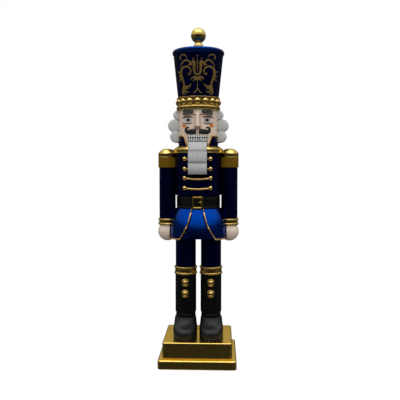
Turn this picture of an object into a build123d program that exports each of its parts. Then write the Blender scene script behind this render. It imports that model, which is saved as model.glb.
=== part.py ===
from build123d import *
import os
from math import cos, radians, sin, sqrt

# Nutcracker soldier, 381 mm tall.  Millimetres, +Z up, front towards -Y.
# The origin is the middle of the plinth's underside.  "left" is the figure's own left, at +X.

os.makedirs("parts", exist_ok=True)

# ---------------------------------------------------------------- driving dimensions
# Plinth
felt_thickness = 0.8
felt_inset = 4.0
lower_tier_size = (87.2, 84.0)
lower_tier_top = 11.0
lower_corner = 4.0
upper_tier_size = (77.4, 74.0)
plinth_top = 29.6
upper_corner = 3.0
screw_spacing = 52.0
screw_radius = 1.75
screw_length = 22.0

# Legs
leg_x = 14.6
shoe_x = 15.0
shoe_width = 27.6
shoe_heel = 12.0
shoe_toe = -28.2
shoe_top = 50.8
shoe_side_rounding = 8.0
ankle_radius = 10.9
boot_radius = 12.1
boot_top = 100.5
boot_button_radius = 4.6
boot_button_heights = (91.8, 79.1)
boot_cuff_radius = 13.4
boot_cuff_top = 109.5
trouser_radius = 11.7
trouser_top = 143.6
dowel_radius = 3.0
dowel_bottom = 16.0
dowel_top = 158.0
ridge = 0.4
cuff_ridge = 1.0

# Coat skirt and pelvis
skirt_bottom = 142.0
skirt_top = 176.5
skirt_bottom_radius = 33.0
skirt_middle = (31.9, 160.0)
skirt_top_radius = 26.2
skirt_thickness = 1.8
piping_width = 1.6
piping_proud = 0.7
opening_half_width = ((5.7, 177.0), (8.8, 163.5), (12.2, 155.0), (18.6, 144.0), (20.6, 141.0))

# Waist, belt and torso
waist_radius = 23.2
belt_bottom = 177.2
belt_top = 190.4
belt_radius = 24.95
buckle_size = (11.6, 13.9)
buckle_bar = 1.5
buckle_proud = 1.7
torso_bottom = 191.2
torso_top = 239.2
torso_radius = 26.6
waist_dowel_radius = 4.0
waist_dowel_bottom = 159.6
waist_dowel_top = 200.2
torso_bottom_round = 0.9

# Coat trim
button_x = 14.2
coat_button_radius = 2.65
button_heights = (232.3, 221.2, 210.9, 199.9)
braid_width = 2.2
braid_proud = 1.2
braid_droop = 1.3
stub_inner_x = 10.95

# Shoulders and arms
yoke_radius = 28.6
yoke_top = 247.0
yoke_wall_top = 243.4
yoke_crown_radius = 22.8
arm_x = 35.6
arm_radius = 9.4
arm_bottom = 164.6
cuff_bottom = 157.2
cuff_radius = 10.9
hand_radius = 11.0
hand_height = 149.8
epaulette_radius = 10.8
epaulette_bottom = 234.4
epaulette_top = 244.5
epaulette_wall_top = 238.6
fringe_bottom = 223.0
fringe_radius = 10.5
arm_dowel_radius = 2.5
arm_dowel_height = 229.0
arm_dowel_inner_x = 19.0
seat_gap = 0.2

# Head
neck_radius = 20.0
head_bottom = 247.0
head_top = 287.2
head_radius = 22.4
collar_top = 258.5
collar_inner = 20.8
collar_outer = 22.6
collar_half_width = (11.4, 15.0)
collar_piping_width = 1.3
mouth_half_width = 10.95
mouth_top = 258.8
teeth_line = 255.5
chin = 251.2
tooth_depth = 1.6
teeth_per_row = 8
closed_mouth_gap = 0.3
palate_top = 266.0
palate_half_width = 9.6
neck_dowel_x = 15.4
neck_dowel_radius = 2.0
neck_dowel_bottom = 222.0
neck_dowel_top = 256.0
slot_top = 250.0

# Hair rolls: radius of the path round the head, height, radius of the roll
hair_front_angle = -12.0
hair_rolls = {"upper": (23.3, 282.6, 5.6), "middle": (27.7, 270.6, 7.2), "lower": (25.8, 258.1, 6.8)}

# Jaw lever
pivot_y = -4.0
pivot_z = 252.0
pin_radius = 1.5
pin_half_length = 20.0
running_clearance = 0.05
lever_width = 20.6
slot_width = 21.4
boss_radius = 5.0
beard_tip = 214.9
slot_swing_radius = 46.2
slot_back = (40.0, 200.6)
lever_front = 22.4
slot_front = -33.0
throat_back = 9.0

# Hat
band_top = 301.6
boss_count = 16
boss_ball_radius = 4.1
boss_circle = 21.8
boss_height = 296.5
band_wall_radius = 22.9
band_foot_radius = 24.9
band_foot_top = 290.6
band_groove_height = 288.5
band_rim_bottom = 299.6
band_rim_radius = 24.6
hat_bottom_radius = 23.2
hat_lip_bottom = 349.6
hat_top_radius = 28.3
lip_radius = 29.5
lip_height = 352.4
dome_edge = 354.6
dome_top = 356.9
finial_collar_radius = 6.4
finial_collar_top = 363.2
ball_radius = 8.5
total_height = 381.0
hat_dowel_radius = 4.0
finial_peg_length = 6.6

SIDES = (("left", 1), ("right", -1))


# ---------------------------------------------------------------- helpers
def save(piece, name):
    """Label one finished piece and write its STEP file."""
    piece.part.label = name
    export_step(piece.part, f"parts/{name}.step")


def upright_plane(x):
    """Plane facing the front, whose local axes are the figure's X and Z."""
    return Plane(origin=(x, 0, 0), x_dir=(1, 0, 0), z_dir=(0, -1, 0))


def turned(corners, x=0.0):
    """Solid turned about the upright line at x, from corners given as (radius, height)."""
    with BuildPart() as body:
        with BuildSketch(upright_plane(x)):
            with BuildLine():
                Polyline(*corners, close=True)
            make_face()
        revolve(axis=Axis((x, 0, 0), (0, 0, 1)))
    return body.part


def rod(radius, bottom, top, x=0.0, y=0.0):
    """Upright round rod."""
    with BuildPart() as body:
        with BuildSketch(Plane.XY.offset(bottom)):
            with Locations((x, y)):
                Circle(radius)
        extrude(amount=top - bottom)
    return body.part


def side_prism(corners, width):
    """Prism across X from corners given as (y, z)."""
    with BuildPart() as body:
        with BuildSketch(Plane.YZ):
            with BuildLine():
                Polyline(*corners, close=True)
            make_face()
        extrude(amount=width / 2, both=True)
    return body.part


def front_prism(corners, depth=60.0):
    """Prism running from the upright mid plane out through the front, from corners (x, z)."""
    with BuildPart() as body:
        with BuildSketch(Plane.XZ):
            with BuildLine():
                Polyline(*corners, close=True)
            make_face()
        extrude(amount=depth)
    return body.part


def ring(inner, outer, bottom, top):
    """Plain upright tube."""
    return turned(((inner, bottom), (outer, bottom), (outer, top), (inner, top)))


def ball(radius, x, y, z):
    """Sphere at a point."""
    with BuildPart() as body:
        with Locations((x, y, z)):
            Sphere(radius)
    return body.part


# ---------------------------------------------------------------- plinth
screw = turned(
    (
        (0, felt_thickness),
        (2 * screw_radius, felt_thickness),
        (screw_radius, felt_thickness + screw_radius),
        (screw_radius, screw_length - 2 * screw_radius),
        (0, screw_length),
    )
)
with BuildPart() as base_screws:
    with GridLocations(screw_spacing, screw_spacing, 2, 2):
        add(screw)
save(base_screws, "base_screws")

with BuildPart() as base_felt_pad:
    with BuildSketch():
        RectangleRounded(
            lower_tier_size[0] - 2 * felt_inset,
            lower_tier_size[1] - 2 * felt_inset,
            lower_corner,
        )
    extrude(amount=felt_thickness)
save(base_felt_pad, "base_felt_pad")

with BuildPart() as base_lower_tier:
    with BuildSketch(Plane.XY.offset(felt_thickness)):
        RectangleRounded(*lower_tier_size, lower_corner)
    extrude(amount=lower_tier_top - felt_thickness)
    fillet(base_lower_tier.faces().sort_by(Axis.Z)[-1].edges(), 1.6)
    fillet(base_lower_tier.faces().sort_by(Axis.Z)[0].edges(), 1.0)
    add(base_screws.part, mode=Mode.SUBTRACT)
save(base_lower_tier, "base_lower_tier")

with BuildPart() as leg_dowels:
    for side, sign in SIDES:
        add(rod(dowel_radius, dowel_bottom, dowel_top, sign * leg_x))
save(leg_dowels, "leg_dowels")

with BuildPart() as base_upper_tier:
    with BuildSketch(Plane.XY.offset(lower_tier_top)):
        RectangleRounded(*upper_tier_size, upper_corner)
    extrude(amount=plinth_top - lower_tier_top)
    fillet(base_upper_tier.faces().sort_by(Axis.Z)[-1].edges(), 1.2)
    add(base_screws.part, mode=Mode.SUBTRACT)
    add(leg_dowels.part, mode=Mode.SUBTRACT)
save(base_upper_tier, "base_upper_tier")


# ---------------------------------------------------------------- legs
def make_shoe(x):
    """Shoe with a round toe: its side view and its plan cut from one block, edges rounded."""
    with BuildPart() as plan:
        with BuildSketch(Plane.XY.offset(plinth_top)):
            with BuildLine():
                half = shoe_width / 2
                Polyline((x - half, -16), (x - half + 1.6, shoe_heel - 5))
                Spline((x - half + 1.6, shoe_heel - 5), (x, shoe_heel), (x + half - 1.6, shoe_heel - 5))
                Polyline((x + half - 1.6, shoe_heel - 5), (x + half, -16))
                Spline(
                    (x + half, -16),
                    (x + half - 2.6, -24.6),
                    (x, shoe_toe),
                    (x - half + 2.6, -24.6),
                    (x - half, -16),
                    tangents=((0, -1), (0, 1)),
                )
            make_face()
        extrude(amount=shoe_top - plinth_top)
    with BuildPart() as shoe:
        with BuildSketch(Plane.YZ.offset(x)):
            with BuildLine():
                Polyline((shoe_toe - 1, plinth_top), (shoe_heel + 1, plinth_top), (shoe_heel + 1, 44))
                Spline((shoe_heel + 1, 44), (ankle_radius - 1.0, 48), (ankle_radius - 1.4, shoe_top))
                Line((ankle_radius - 1.4, shoe_top), (-9.5, shoe_top))
                Spline((-9.5, shoe_top), (-14, 47.8), (-21.5, 44.2), (-27, 38.5), (shoe_toe - 1, 32))
                Line((shoe_toe - 1, 32), (shoe_toe - 1, plinth_top))
            make_face()
        extrude(amount=shoe_width, both=True)
        add(plan.part, mode=Mode.INTERSECT)
        with BuildSketch(Plane.XZ.offset(-shoe_heel - 1)):
            with Locations((x, plinth_top)):
                RectangleRounded(shoe_width + 1.0, 2 * (shoe_top - plinth_top), shoe_side_rounding)
        extrude(amount=shoe_heel - shoe_toe + 2, mode=Mode.INTERSECT)
        add(rod(ankle_radius + 0.9, plinth_top, shoe_top, x))
    return shoe.part


def make_boot(x):
    """Boot shaft with a groove above the ankle."""
    groove = boot_radius - 1.0
    return turned(
        (
            (0, shoe_top),
            (ankle_radius, shoe_top),
            (ankle_radius + 0.5, shoe_top + 1.2),
            (ankle_radius + 0.5, shoe_top + 3.2),
            (groove, shoe_top + 4.1),
            (groove, shoe_top + 4.7),
            (boot_radius - 0.2, shoe_top + 5.6),
            (boot_radius, shoe_top + 6.6),
            (boot_radius, boot_top),
            (0, boot_top),
        ),
        x,
    )


def add_ridge(radius, low, high):
    """Draw a half-round ridge up the outside of a turned profile."""
    ThreePointArc((radius - cuff_ridge, low), (radius, (low + high) / 2), (radius - cuff_ridge, high))


def make_boot_cuff(x):
    """Gold cuff: two rounded ridges with a straight wall between them."""
    low = boot_top
    high = boot_cuff_top
    wall = boot_cuff_radius - cuff_ridge
    with BuildPart() as cuff:
        with BuildSketch(upright_plane(x)):
            with BuildLine():
                Polyline((0, high), (0, low), (wall, low))
                add_ridge(boot_cuff_radius, low, low + 2.4)
                Line((wall, low + 2.4), (wall, high - 2.1))
                add_ridge(boot_cuff_radius, high - 2.1, high)
                Line((wall, high), (0, high))
            make_face()
        revolve(axis=Axis((x, 0, 0), (0, 0, 1)))
    return cuff.part


with BuildPart() as boot_buttons:
    for side, sign in SIDES:
        for height in boot_button_heights:
            add(ball(boot_button_radius, sign * leg_x, -boot_radius + 1.2, height))
    with BuildSketch(Plane.XZ.offset(boot_radius - 1.4)):
        Rectangle(200, 400)
    extrude(amount=-40, mode=Mode.SUBTRACT)
save(boot_buttons, "boot_buttons")

for side, sign in SIDES:
    with BuildPart() as shoe:
        add(make_shoe(sign * shoe_x))
        add(leg_dowels.part, mode=Mode.SUBTRACT)
    save(shoe, f"shoe_{side}")
    with BuildPart() as boot:
        add(make_boot(sign * leg_x))
        add(boot_buttons.part, mode=Mode.SUBTRACT)
        add(leg_dowels.part, mode=Mode.SUBTRACT)
    save(boot, f"boot_{side}")
    with BuildPart() as boot_cuff:
        add(make_boot_cuff(sign * leg_x))
        add(leg_dowels.part, mode=Mode.SUBTRACT)
    save(boot_cuff, f"boot_cuff_{side}")
    with BuildPart() as trouser_leg:
        add(rod(trouser_radius, boot_cuff_top, trouser_top, sign * leg_x))
        add(leg_dowels.part, mode=Mode.SUBTRACT)
    save(trouser_leg, f"trouser_leg_{side}")


# ---------------------------------------------------------------- pelvis and coat skirt
def skirt_bell(grow=0.0):
    """Solid bell with the outer shape of the coat skirt, made larger by grow."""
    with BuildPart() as bell:
        with BuildSketch(Plane.XZ):
            with BuildLine():
                Polyline((0, skirt_top), (0, skirt_bottom), (skirt_bottom_radius + grow, skirt_bottom))
                ThreePointArc(
                    (skirt_bottom_radius + grow, skirt_bottom),
                    (skirt_middle[0] + grow, skirt_middle[1]),
                    (skirt_top_radius + grow, skirt_top),
                )
                Line((skirt_top_radius + grow, skirt_top), (0, skirt_top))
            make_face()
        revolve(axis=Axis.Z)
    return bell.part


def opening_prism(widen):
    """Prism through the front of the skirt with the shape of its opening, widened each side."""
    right_edge = [(half + widen, height) for half, height in opening_half_width]
    left_edge = [(-half, height) for half, height in reversed(right_edge)]
    with BuildPart() as opening:
        with BuildSketch(Plane.XZ):
            with BuildLine():
                Spline(*right_edge)
                Line(right_edge[-1], left_edge[0])
                Spline(*left_edge)
                Line(left_edge[-1], right_edge[0])
            make_face()
        extrude(amount=skirt_bottom_radius + 5)
    return opening.part


inner_bell = skirt_bell(-skirt_thickness)
outer_bell = skirt_bell()
clear_bell = skirt_bell(piping_proud + seat_gap)
waist_dowel = rod(waist_dowel_radius, waist_dowel_bottom, waist_dowel_top)

with BuildPart() as pelvis_block:
    add(inner_bell)
    add(rod(skirt_bottom_radius, skirt_bottom - 1, trouser_top), mode=Mode.SUBTRACT)
    add(leg_dowels.part, mode=Mode.SUBTRACT)
    add(waist_dowel, mode=Mode.SUBTRACT)
save(pelvis_block, "pelvis_block")

with BuildPart() as waist_peg:
    add(waist_dowel)
save(waist_peg, "waist_dowel")

with BuildPart() as hem_zone:
    add(opening_prism(piping_width))
    with BuildSketch(Plane.XY.offset(skirt_bottom - 1)):
        Circle(skirt_bottom_radius + 5)
    extrude(amount=piping_width + 1)

with BuildPart() as skirt_piping:
    add(skirt_bell(piping_proud))
    add(inner_bell, mode=Mode.SUBTRACT)
    add(hem_zone.part, mode=Mode.INTERSECT)
    add(opening_prism(0), mode=Mode.SUBTRACT)
save(skirt_piping, "skirt_piping")

with BuildPart() as coat_skirt:
    add(outer_bell)
    add(inner_bell, mode=Mode.SUBTRACT)
    add(hem_zone.part, mode=Mode.SUBTRACT)
save(coat_skirt, "coat_skirt")


# ---------------------------------------------------------------- jaw lever outline
lever_corners = (
    (-22.4, teeth_line),
    (-8.0, teeth_line),
    (-4.0, 252.0),
    (0.4, 247.0),
    (2.0, 236.0),
    (8.0, 224.0),
    (22.0, 217.0),
    (29.6, 214.5),
    (32.2, 205.0),
    (34.4, 180.5),
    (30.6, 179.0),
    (28.8, 203.0),
    (10.0, 207.2),
    (-12.0, 214.2),
    (-22.4, beard_tip),
)

jaw_pin_axis = Plane.YZ.offset(-pin_half_length)
with BuildPart() as jaw_pin:
    with BuildSketch(jaw_pin_axis):
        with Locations((pivot_y, pivot_z)):
            Circle(pin_radius)
    extrude(amount=2 * pin_half_length)
save(jaw_pin, "jaw_pin")

with BuildPart() as jaw_lever:
    add(side_prism(lever_corners, lever_width))
    with BuildSketch(Plane.YZ):
        with Locations((pivot_y, pivot_z)):
            Circle(boss_radius)
    extrude(amount=lever_width / 2, both=True)
    fillet(jaw_lever.edges().filter_by(Axis.X).group_by(Axis.Y)[-1], 1.5)
    fillet(jaw_lever.edges().filter_by(Axis.X).group_by(Axis.Z)[0], 1.2)
    with BuildSketch(Plane.YZ):
        with Locations((pivot_y, pivot_z)):
            Circle(pin_radius + running_clearance)
    extrude(amount=lever_width / 2, both=True, mode=Mode.SUBTRACT)
save(jaw_lever, "jaw_lever")

# Beard: a slab in three tiers, each undercut where the next one starts.
with BuildPart() as beard:
    with BuildSketch(Plane.YZ):
        with BuildLine():
            Spline((-23.6, chin), (-26.6, 247.6), (-28.6, 242.6))
            Line((-28.6, 242.6), (-27.9, 241.2))
            Spline((-27.9, 241.2), (-30.6, 235.0), (-29.8, 228.8))
            Line((-29.8, 228.8), (-28.4, 227.9))
            Spline((-28.4, 227.9), (-30.8, 222.0), (-28.4, beard_tip))
            Polyline((-28.4, beard_tip), (-22.4, beard_tip), (-22.4, chin), (-23.6, chin))
        make_face()
    extrude(amount=lever_width / 2, both=True)
save(beard, "beard")


def teeth(bottom, top):
    """Row of round-cornered teeth side by side, joined by a thin gum at their backs."""
    pitch = lever_width / teeth_per_row
    with BuildPart() as row:
        with BuildSketch(Plane.XZ.offset(lever_front)):
            with Locations((0, (bottom + top) / 2)):
                Rectangle(lever_width, top - bottom)
        extrude(amount=tooth_depth / 2)
        with BuildSketch(Plane.XZ.offset(lever_front)):
            with Locations((0, (bottom + top) / 2)):
                with GridLocations(pitch, 1, teeth_per_row, 1):
                    RectangleRounded(pitch - 0.35, top - bottom - 0.1, 0.55)
        extrude(amount=tooth_depth)
    return row


lower_teeth = teeth(chin, teeth_line)
save(lower_teeth, "lower_teeth")
upper_teeth = teeth(teeth_line + closed_mouth_gap, mouth_top)
save(upper_teeth, "upper_teeth")


# ---------------------------------------------------------------- torso, belt and coat trim
def round_torso(grow=0.0):
    """Full round chest above a narrower waist."""
    radius = torso_radius + grow
    with BuildPart() as body:
        with BuildSketch(Plane.XZ):
            with BuildLine():
                Polyline(
                    (0, skirt_top),
                    (waist_radius, skirt_top),
                    (waist_radius, torso_bottom),
                    (radius - torso_bottom_round, torso_bottom),
                    (radius, torso_bottom + torso_bottom_round),
                    (radius, torso_top),
                    (0, torso_top),
                    (0, skirt_top),
                )
            make_face()
        revolve(axis=Axis.Z)
    return body.part


def swing_arc_height(y):
    """Height of the slot's floor in front of the pin, an arc about the pin."""
    return pivot_z - sqrt(slot_swing_radius**2 - (y - pivot_y) ** 2)


with BuildPart() as lever_slot:
    with BuildSketch(Plane.YZ):
        with BuildLine():
            front = (slot_front, swing_arc_height(slot_front))
            bottom = (pivot_y, pivot_z - slot_swing_radius)
            ThreePointArc(front, (-18.0, swing_arc_height(-18.0)), bottom)
            Polyline(bottom, (slot_back[0], slot_back[1]), (slot_back[0], slot_top), (slot_front, slot_top), front)
        make_face()
    extrude(amount=slot_width / 2, both=True)

with BuildPart() as arm_dowels:
    for side, sign in SIDES:
        with BuildSketch(Plane.YZ.offset(sign * arm_dowel_inner_x)):
            with Locations((0, arm_dowel_height)):
                Circle(arm_dowel_radius)
        extrude(amount=sign * (arm_x + 3 - arm_dowel_inner_x))
save(arm_dowels, "arm_dowels")

with BuildPart() as neck_dowels:
    for side, sign in SIDES:
        add(rod(neck_dowel_radius, neck_dowel_bottom, neck_dowel_top, sign * neck_dowel_x))
save(neck_dowels, "neck_dowels")


def coat_button(x, height):
    """Ball button seated on the round chest, turned about the line that points outwards there."""
    centre = torso_radius + 0.7
    outwards = (x / centre, -sqrt(1 - (x / centre) ** 2), 0)
    sideways = (-outwards[1], outwards[0], 0)
    with BuildPart() as button:
        with BuildSketch(Plane(origin=(0, 0, height), x_dir=outwards, z_dir=sideways)):
            with BuildLine():
                ThreePointArc(
                    (centre - coat_button_radius, 0),
                    (centre, coat_button_radius),
                    (centre + coat_button_radius, 0),
                )
                Line((centre + coat_button_radius, 0), (centre - coat_button_radius, 0))
            make_face()
        revolve(axis=Axis((0, 0, height), outwards))
        add(rod(torso_radius, torso_bottom, torso_top), mode=Mode.SUBTRACT)
    return button.part


with BuildPart() as coat_buttons:
    for side, sign in SIDES:
        for height in button_heights:
            add(coat_button(sign * button_x, height))
save(coat_buttons, "coat_buttons")

with BuildPart() as torso:
    add(round_torso())
    add(lever_slot.part, mode=Mode.SUBTRACT)
    add(waist_dowel, mode=Mode.SUBTRACT)
    add(arm_dowels.part, mode=Mode.SUBTRACT)
    add(neck_dowels.part, mode=Mode.SUBTRACT)
save(torso, "torso")

with BuildPart() as belt:
    add(ring(waist_radius, belt_radius, belt_bottom, belt_top))
    fillet(belt.edges().filter_by(GeomType.CIRCLE).group_by(Axis.Z)[-1].sort_by(SortBy.RADIUS)[-1], 0.5)
    fillet(belt.edges().filter_by(GeomType.CIRCLE).group_by(Axis.Z)[0].sort_by(SortBy.RADIUS)[-1], 0.5)
save(belt, "belt")

belt_middle = (belt_bottom + belt_top) / 2
with BuildPart() as belt_buckle:
    with BuildSketch(Plane.XZ):
        with Locations((0, belt_middle)):
            RectangleRounded(*buckle_size, 1.0)
            Rectangle(buckle_size[0] - 2 * buckle_bar, buckle_size[1] - 2 * buckle_bar, mode=Mode.SUBTRACT)
    extrude(amount=belt_radius + 5)
    add(ring(belt_radius, belt_radius + buckle_proud, belt_bottom - 2, belt_top + 2), mode=Mode.INTERSECT)
save(belt_buckle, "belt_buckle")

with BuildPart() as buckle_prong:
    with BuildSketch(Plane.XZ):
        with Locations((buckle_size[0] / 2 - buckle_bar - 3.0, belt_middle)):
            Rectangle(6.0, 1.6)
    extrude(amount=belt_radius + 5)
    add(ring(belt_radius, belt_radius + 1.3, belt_bottom, belt_top), mode=Mode.INTERSECT)
save(buckle_prong, "buckle_prong")


def braid_bar(height):
    """Front view of one bar that hangs in a shallow curve between two buttons."""
    low = height - braid_width / 2
    high = height + braid_width / 2
    with BuildPart() as bar:
        with BuildSketch(Plane.XZ):
            with BuildLine():
                ThreePointArc((-button_x, low), (0, low - braid_droop), (button_x, low))
                Line((button_x, low), (button_x, high))
                ThreePointArc((button_x, high), (0, high - braid_droop), (-button_x, high))
                Line((-button_x, high), (-button_x, low))
            make_face()
        extrude(amount=torso_radius + 5)
    return bar.part


with BuildPart() as coat_braid:
    for height in button_heights[2:]:
        add(braid_bar(height))
    for height in button_heights[:2]:
        for side, sign in SIDES:
            low = height - braid_width / 2
            high = height + braid_width / 2
            stub = (
                (sign * stub_inner_x, low),
                (sign * button_x, low),
                (sign * button_x, high),
                (sign * stub_inner_x, high),
            )
            add(front_prism(stub, torso_radius + 5))
    braid_sleeve = ring(torso_radius, torso_radius + braid_proud, torso_bottom, torso_top)
    add(braid_sleeve, mode=Mode.INTERSECT)
    add(coat_buttons.part, mode=Mode.SUBTRACT)
save(coat_braid, "coat_braid")


# ---------------------------------------------------------------- shoulders and arms
with BuildPart() as shoulder_yoke:
    with BuildSketch(Plane.XZ):
        with BuildLine():
            wall = yoke_radius - ridge
            Polyline(
                (yoke_crown_radius, yoke_top),
                (neck_radius, yoke_top),
                (neck_radius, torso_top),
                (wall, torso_top),
                (yoke_radius, torso_top + ridge),
                (wall, torso_top + 2 * ridge),
                (wall, yoke_wall_top - 2 * ridge),
                (yoke_radius, yoke_wall_top - ridge),
                (wall, yoke_wall_top),
            )
            crown_middle = ((wall + yoke_crown_radius) / 2 + ridge, (yoke_wall_top + yoke_top) / 2 + ridge)
            ThreePointArc((wall, yoke_wall_top), crown_middle, (yoke_crown_radius, yoke_top))
        make_face()
    revolve(axis=Axis.Z)
    with BuildSketch(Plane.XZ):
        with Locations((0, yoke_top)):
            Rectangle(slot_width, 30)
    extrude(amount=yoke_radius + 5, mode=Mode.SUBTRACT)
save(shoulder_yoke, "shoulder_yoke")

with BuildPart() as shoulder_clearance:
    add(rod(yoke_radius + 0.05, torso_top - 0.1, yoke_top + 5))
    add(rod(torso_radius + 0.05, torso_bottom, torso_top + 1))


def make_epaulette(x):
    """Domed cap above a straight wall with a fine ridge at its top and foot."""
    low = epaulette_bottom
    wall = epaulette_radius - ridge
    shoulder = (epaulette_radius - 2 * ridge, epaulette_wall_top + 3 * ridge)
    with BuildPart() as cap:
        with BuildSketch(upright_plane(x)):
            with BuildLine():
                Polyline(
                    (0, epaulette_top),
                    (0, low),
                    (wall, low),
                    (epaulette_radius, low + ridge),
                    (wall, low + 2 * ridge),
                    (wall, epaulette_wall_top),
                    (epaulette_radius, epaulette_wall_top + ridge),
                    shoulder,
                )
                ThreePointArc(shoulder, (0.57 * epaulette_radius, epaulette_top - 1.1), (0, epaulette_top))
            make_face()
        revolve(axis=Axis((x, 0, 0), (0, 0, 1)))
    return cap.part


def make_cuff(x):
    """Gold cuff with a straight wall between two rounded ridges, the lower one larger."""
    low = cuff_bottom
    wall = cuff_radius - cuff_ridge
    with BuildPart() as cuff:
        with BuildSketch(upright_plane(x)):
            with BuildLine():
                Polyline((0, arm_bottom), (0, low), (wall, low))
                add_ridge(cuff_radius, low, low + 2.6)
                Line((wall, low + 2.6), (wall, arm_bottom - 1.8))
                add_ridge(cuff_radius, arm_bottom - 1.8, arm_bottom)
                Line((wall, arm_bottom), (0, arm_bottom))
            make_face()
        revolve(axis=Axis((x, 0, 0), (0, 0, 1)))
    return cuff.part


def save_mirrored_pair(left_piece, name):
    """Write a piece made for the figure's left side, and its mirror image for the right side."""
    save(left_piece, f"{name}_left")
    with BuildPart() as right_piece:
        mirror(left_piece.part, about=Plane.YZ)
    save(right_piece, f"{name}_right")


with BuildPart() as arm:
    add(rod(arm_radius, arm_bottom, epaulette_bottom, arm_x))
    add(outer_bell, mode=Mode.SUBTRACT)
    add(shoulder_clearance.part, mode=Mode.SUBTRACT)
    add(arm_dowels.part, mode=Mode.SUBTRACT)
save_mirrored_pair(arm, "arm")

with BuildPart() as cuff:
    add(make_cuff(arm_x))
    add(outer_bell, mode=Mode.SUBTRACT)
save_mirrored_pair(cuff, "cuff")

with BuildPart() as hand:
    add(ball(hand_radius, arm_x, 0, hand_height))
    add(rod(hand_radius + 2, cuff_bottom, cuff_bottom + 10, arm_x), mode=Mode.SUBTRACT)
    add(clear_bell, mode=Mode.SUBTRACT)
save_mirrored_pair(hand, "hand")

with BuildPart() as epaulette:
    add(make_epaulette(arm_x))
    add(shoulder_clearance.part, mode=Mode.SUBTRACT)
save_mirrored_pair(epaulette, "epaulette")

with BuildPart() as epaulette_fringe:
    add(rod(fringe_radius, fringe_bottom, epaulette_bottom, arm_x))
    add(rod(arm_radius, fringe_bottom, epaulette_bottom, arm_x), mode=Mode.SUBTRACT)
    add(shoulder_clearance.part, mode=Mode.SUBTRACT)
    add(arm_dowels.part, mode=Mode.SUBTRACT)
save_mirrored_pair(epaulette_fringe, "epaulette_fringe")


# ---------------------------------------------------------------- head and collar
collar_opening = (
    (-collar_half_width[0], head_bottom - 1),
    (collar_half_width[0], head_bottom - 1),
    (collar_half_width[1], collar_top + 2),
    (-collar_half_width[1], collar_top + 2),
)
collar_edge = tuple(
    (x + (collar_piping_width if x > 0 else -collar_piping_width), height) for x, height in collar_opening
)

with BuildPart() as collar_trim_zone:
    add(front_prism(collar_edge))
    add(ring(collar_inner - 1, collar_outer + 5, collar_top - collar_piping_width, collar_top + 5))

with BuildPart() as collar:
    add(ring(collar_inner, collar_outer, head_bottom, collar_top))
    add(front_prism(collar_opening), mode=Mode.SUBTRACT)
    add(collar_trim_zone.part, mode=Mode.SUBTRACT)
save(collar, "collar")

with BuildPart() as collar_piping:
    add(ring(collar_inner, collar_outer + 0.5, head_bottom, collar_top + 0.3))
    add(front_prism(collar_opening), mode=Mode.SUBTRACT)
    add(collar_trim_zone.part, mode=Mode.INTERSECT)
save(collar_piping, "collar_piping")

with BuildPart() as hat_dowel:
    add(rod(hat_dowel_radius, head_top - 9, hat_lip_bottom - 6))
save(hat_dowel, "hat_dowel")

mouth_pocket = (
    (-30.0, torso_top - 1),
    (17.0, torso_top - 1),
    (17.0, torso_top),
    (11.5, 243.5),
    (throat_back, 246.5),
    (throat_back, mouth_top),
    (-30.0, mouth_top),
)

with BuildPart() as palate:
    with BuildSketch(Plane.YZ):
        with BuildLine():
            Polyline((-5.0, mouth_top - 1), (-19.0, mouth_top - 1), (-19.0, palate_top - 3))
            ThreePointArc((-19.0, palate_top - 3), (-12.0, palate_top + 0.6), (-5.0, palate_top - 3))
            Line((-5.0, palate_top - 3), (-5.0, mouth_top - 1))
        make_face()
    extrude(amount=palate_half_width, both=True)

with BuildPart() as collar_seat:
    add(ring(collar_inner, head_radius + 3, head_bottom - 0.01, collar_top + 0.3))
    add(front_prism(collar_opening), mode=Mode.SUBTRACT)

with BuildPart() as head:
    add(rod(neck_radius, torso_top, head_bottom))
    add(rod(head_radius, head_bottom, head_top))
    add(collar_seat.part, mode=Mode.SUBTRACT)
    add(side_prism(mouth_pocket, 2 * mouth_half_width), mode=Mode.SUBTRACT)
    add(palate.part, mode=Mode.SUBTRACT)
    add(jaw_pin.part, mode=Mode.SUBTRACT)
    add(neck_dowels.part, mode=Mode.SUBTRACT)
    add(hat_dowel.part, mode=Mode.SUBTRACT)
save(head, "head")

# Nose: a wedge, narrow at the brow and broad and raised at its tip.
with BuildPart() as nose:
    with BuildSketch(Plane.YZ):
        with BuildLine():
            Polyline((-20.0, 282.4), (-22.6, 282.4), (-26.0, 267.4))
            ThreePointArc((-26.0, 267.4), (-26.1, 265.6), (-24.6, 264.9))
            Polyline((-24.6, 264.9), (-20.0, 264.9), (-20.0, 282.4))
        make_face()
    extrude(amount=6, both=True)
    nose_front = ((-4.1, 264.0), (4.1, 264.0), (4.1, 266.6), (2.1, 283.0), (-2.1, 283.0), (-4.1, 266.6))
    add(front_prism(nose_front), mode=Mode.INTERSECT)
    add(rod(head_radius, head_bottom, head_top), mode=Mode.SUBTRACT)
save(nose, "nose")

# Moustache: two mirrored halves with their ends curled up.
with BuildPart() as mustache:
    with BuildSketch(Plane.XZ):
        with BuildLine():
            Line((1.6, 264.6), (1.6, 259.9))
            Line((1.6, 259.9), (8.6, 259.9))
            Spline(
                (8.6, 259.9),
                (13.0, 261.4),
                (14.4, 264.4),
                (13.6, 267.0),
                (12.0, 267.9),
                (10.8, 266.9),
                (11.9, 265.4),
                (10.6, 264.2),
                (6.4, 265.3),
                (1.6, 264.6),
                tangents=((1, 0), (-1, -0.3)),
            )
        make_face()
        mirror(about=Plane.YZ)
    extrude(amount=head_radius + 5)
    add(ring(head_radius, head_radius + 2.4, mouth_top, head_top), mode=Mode.INTERSECT)
    add(nose.part, mode=Mode.SUBTRACT)
save(mustache, "mustache")

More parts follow.
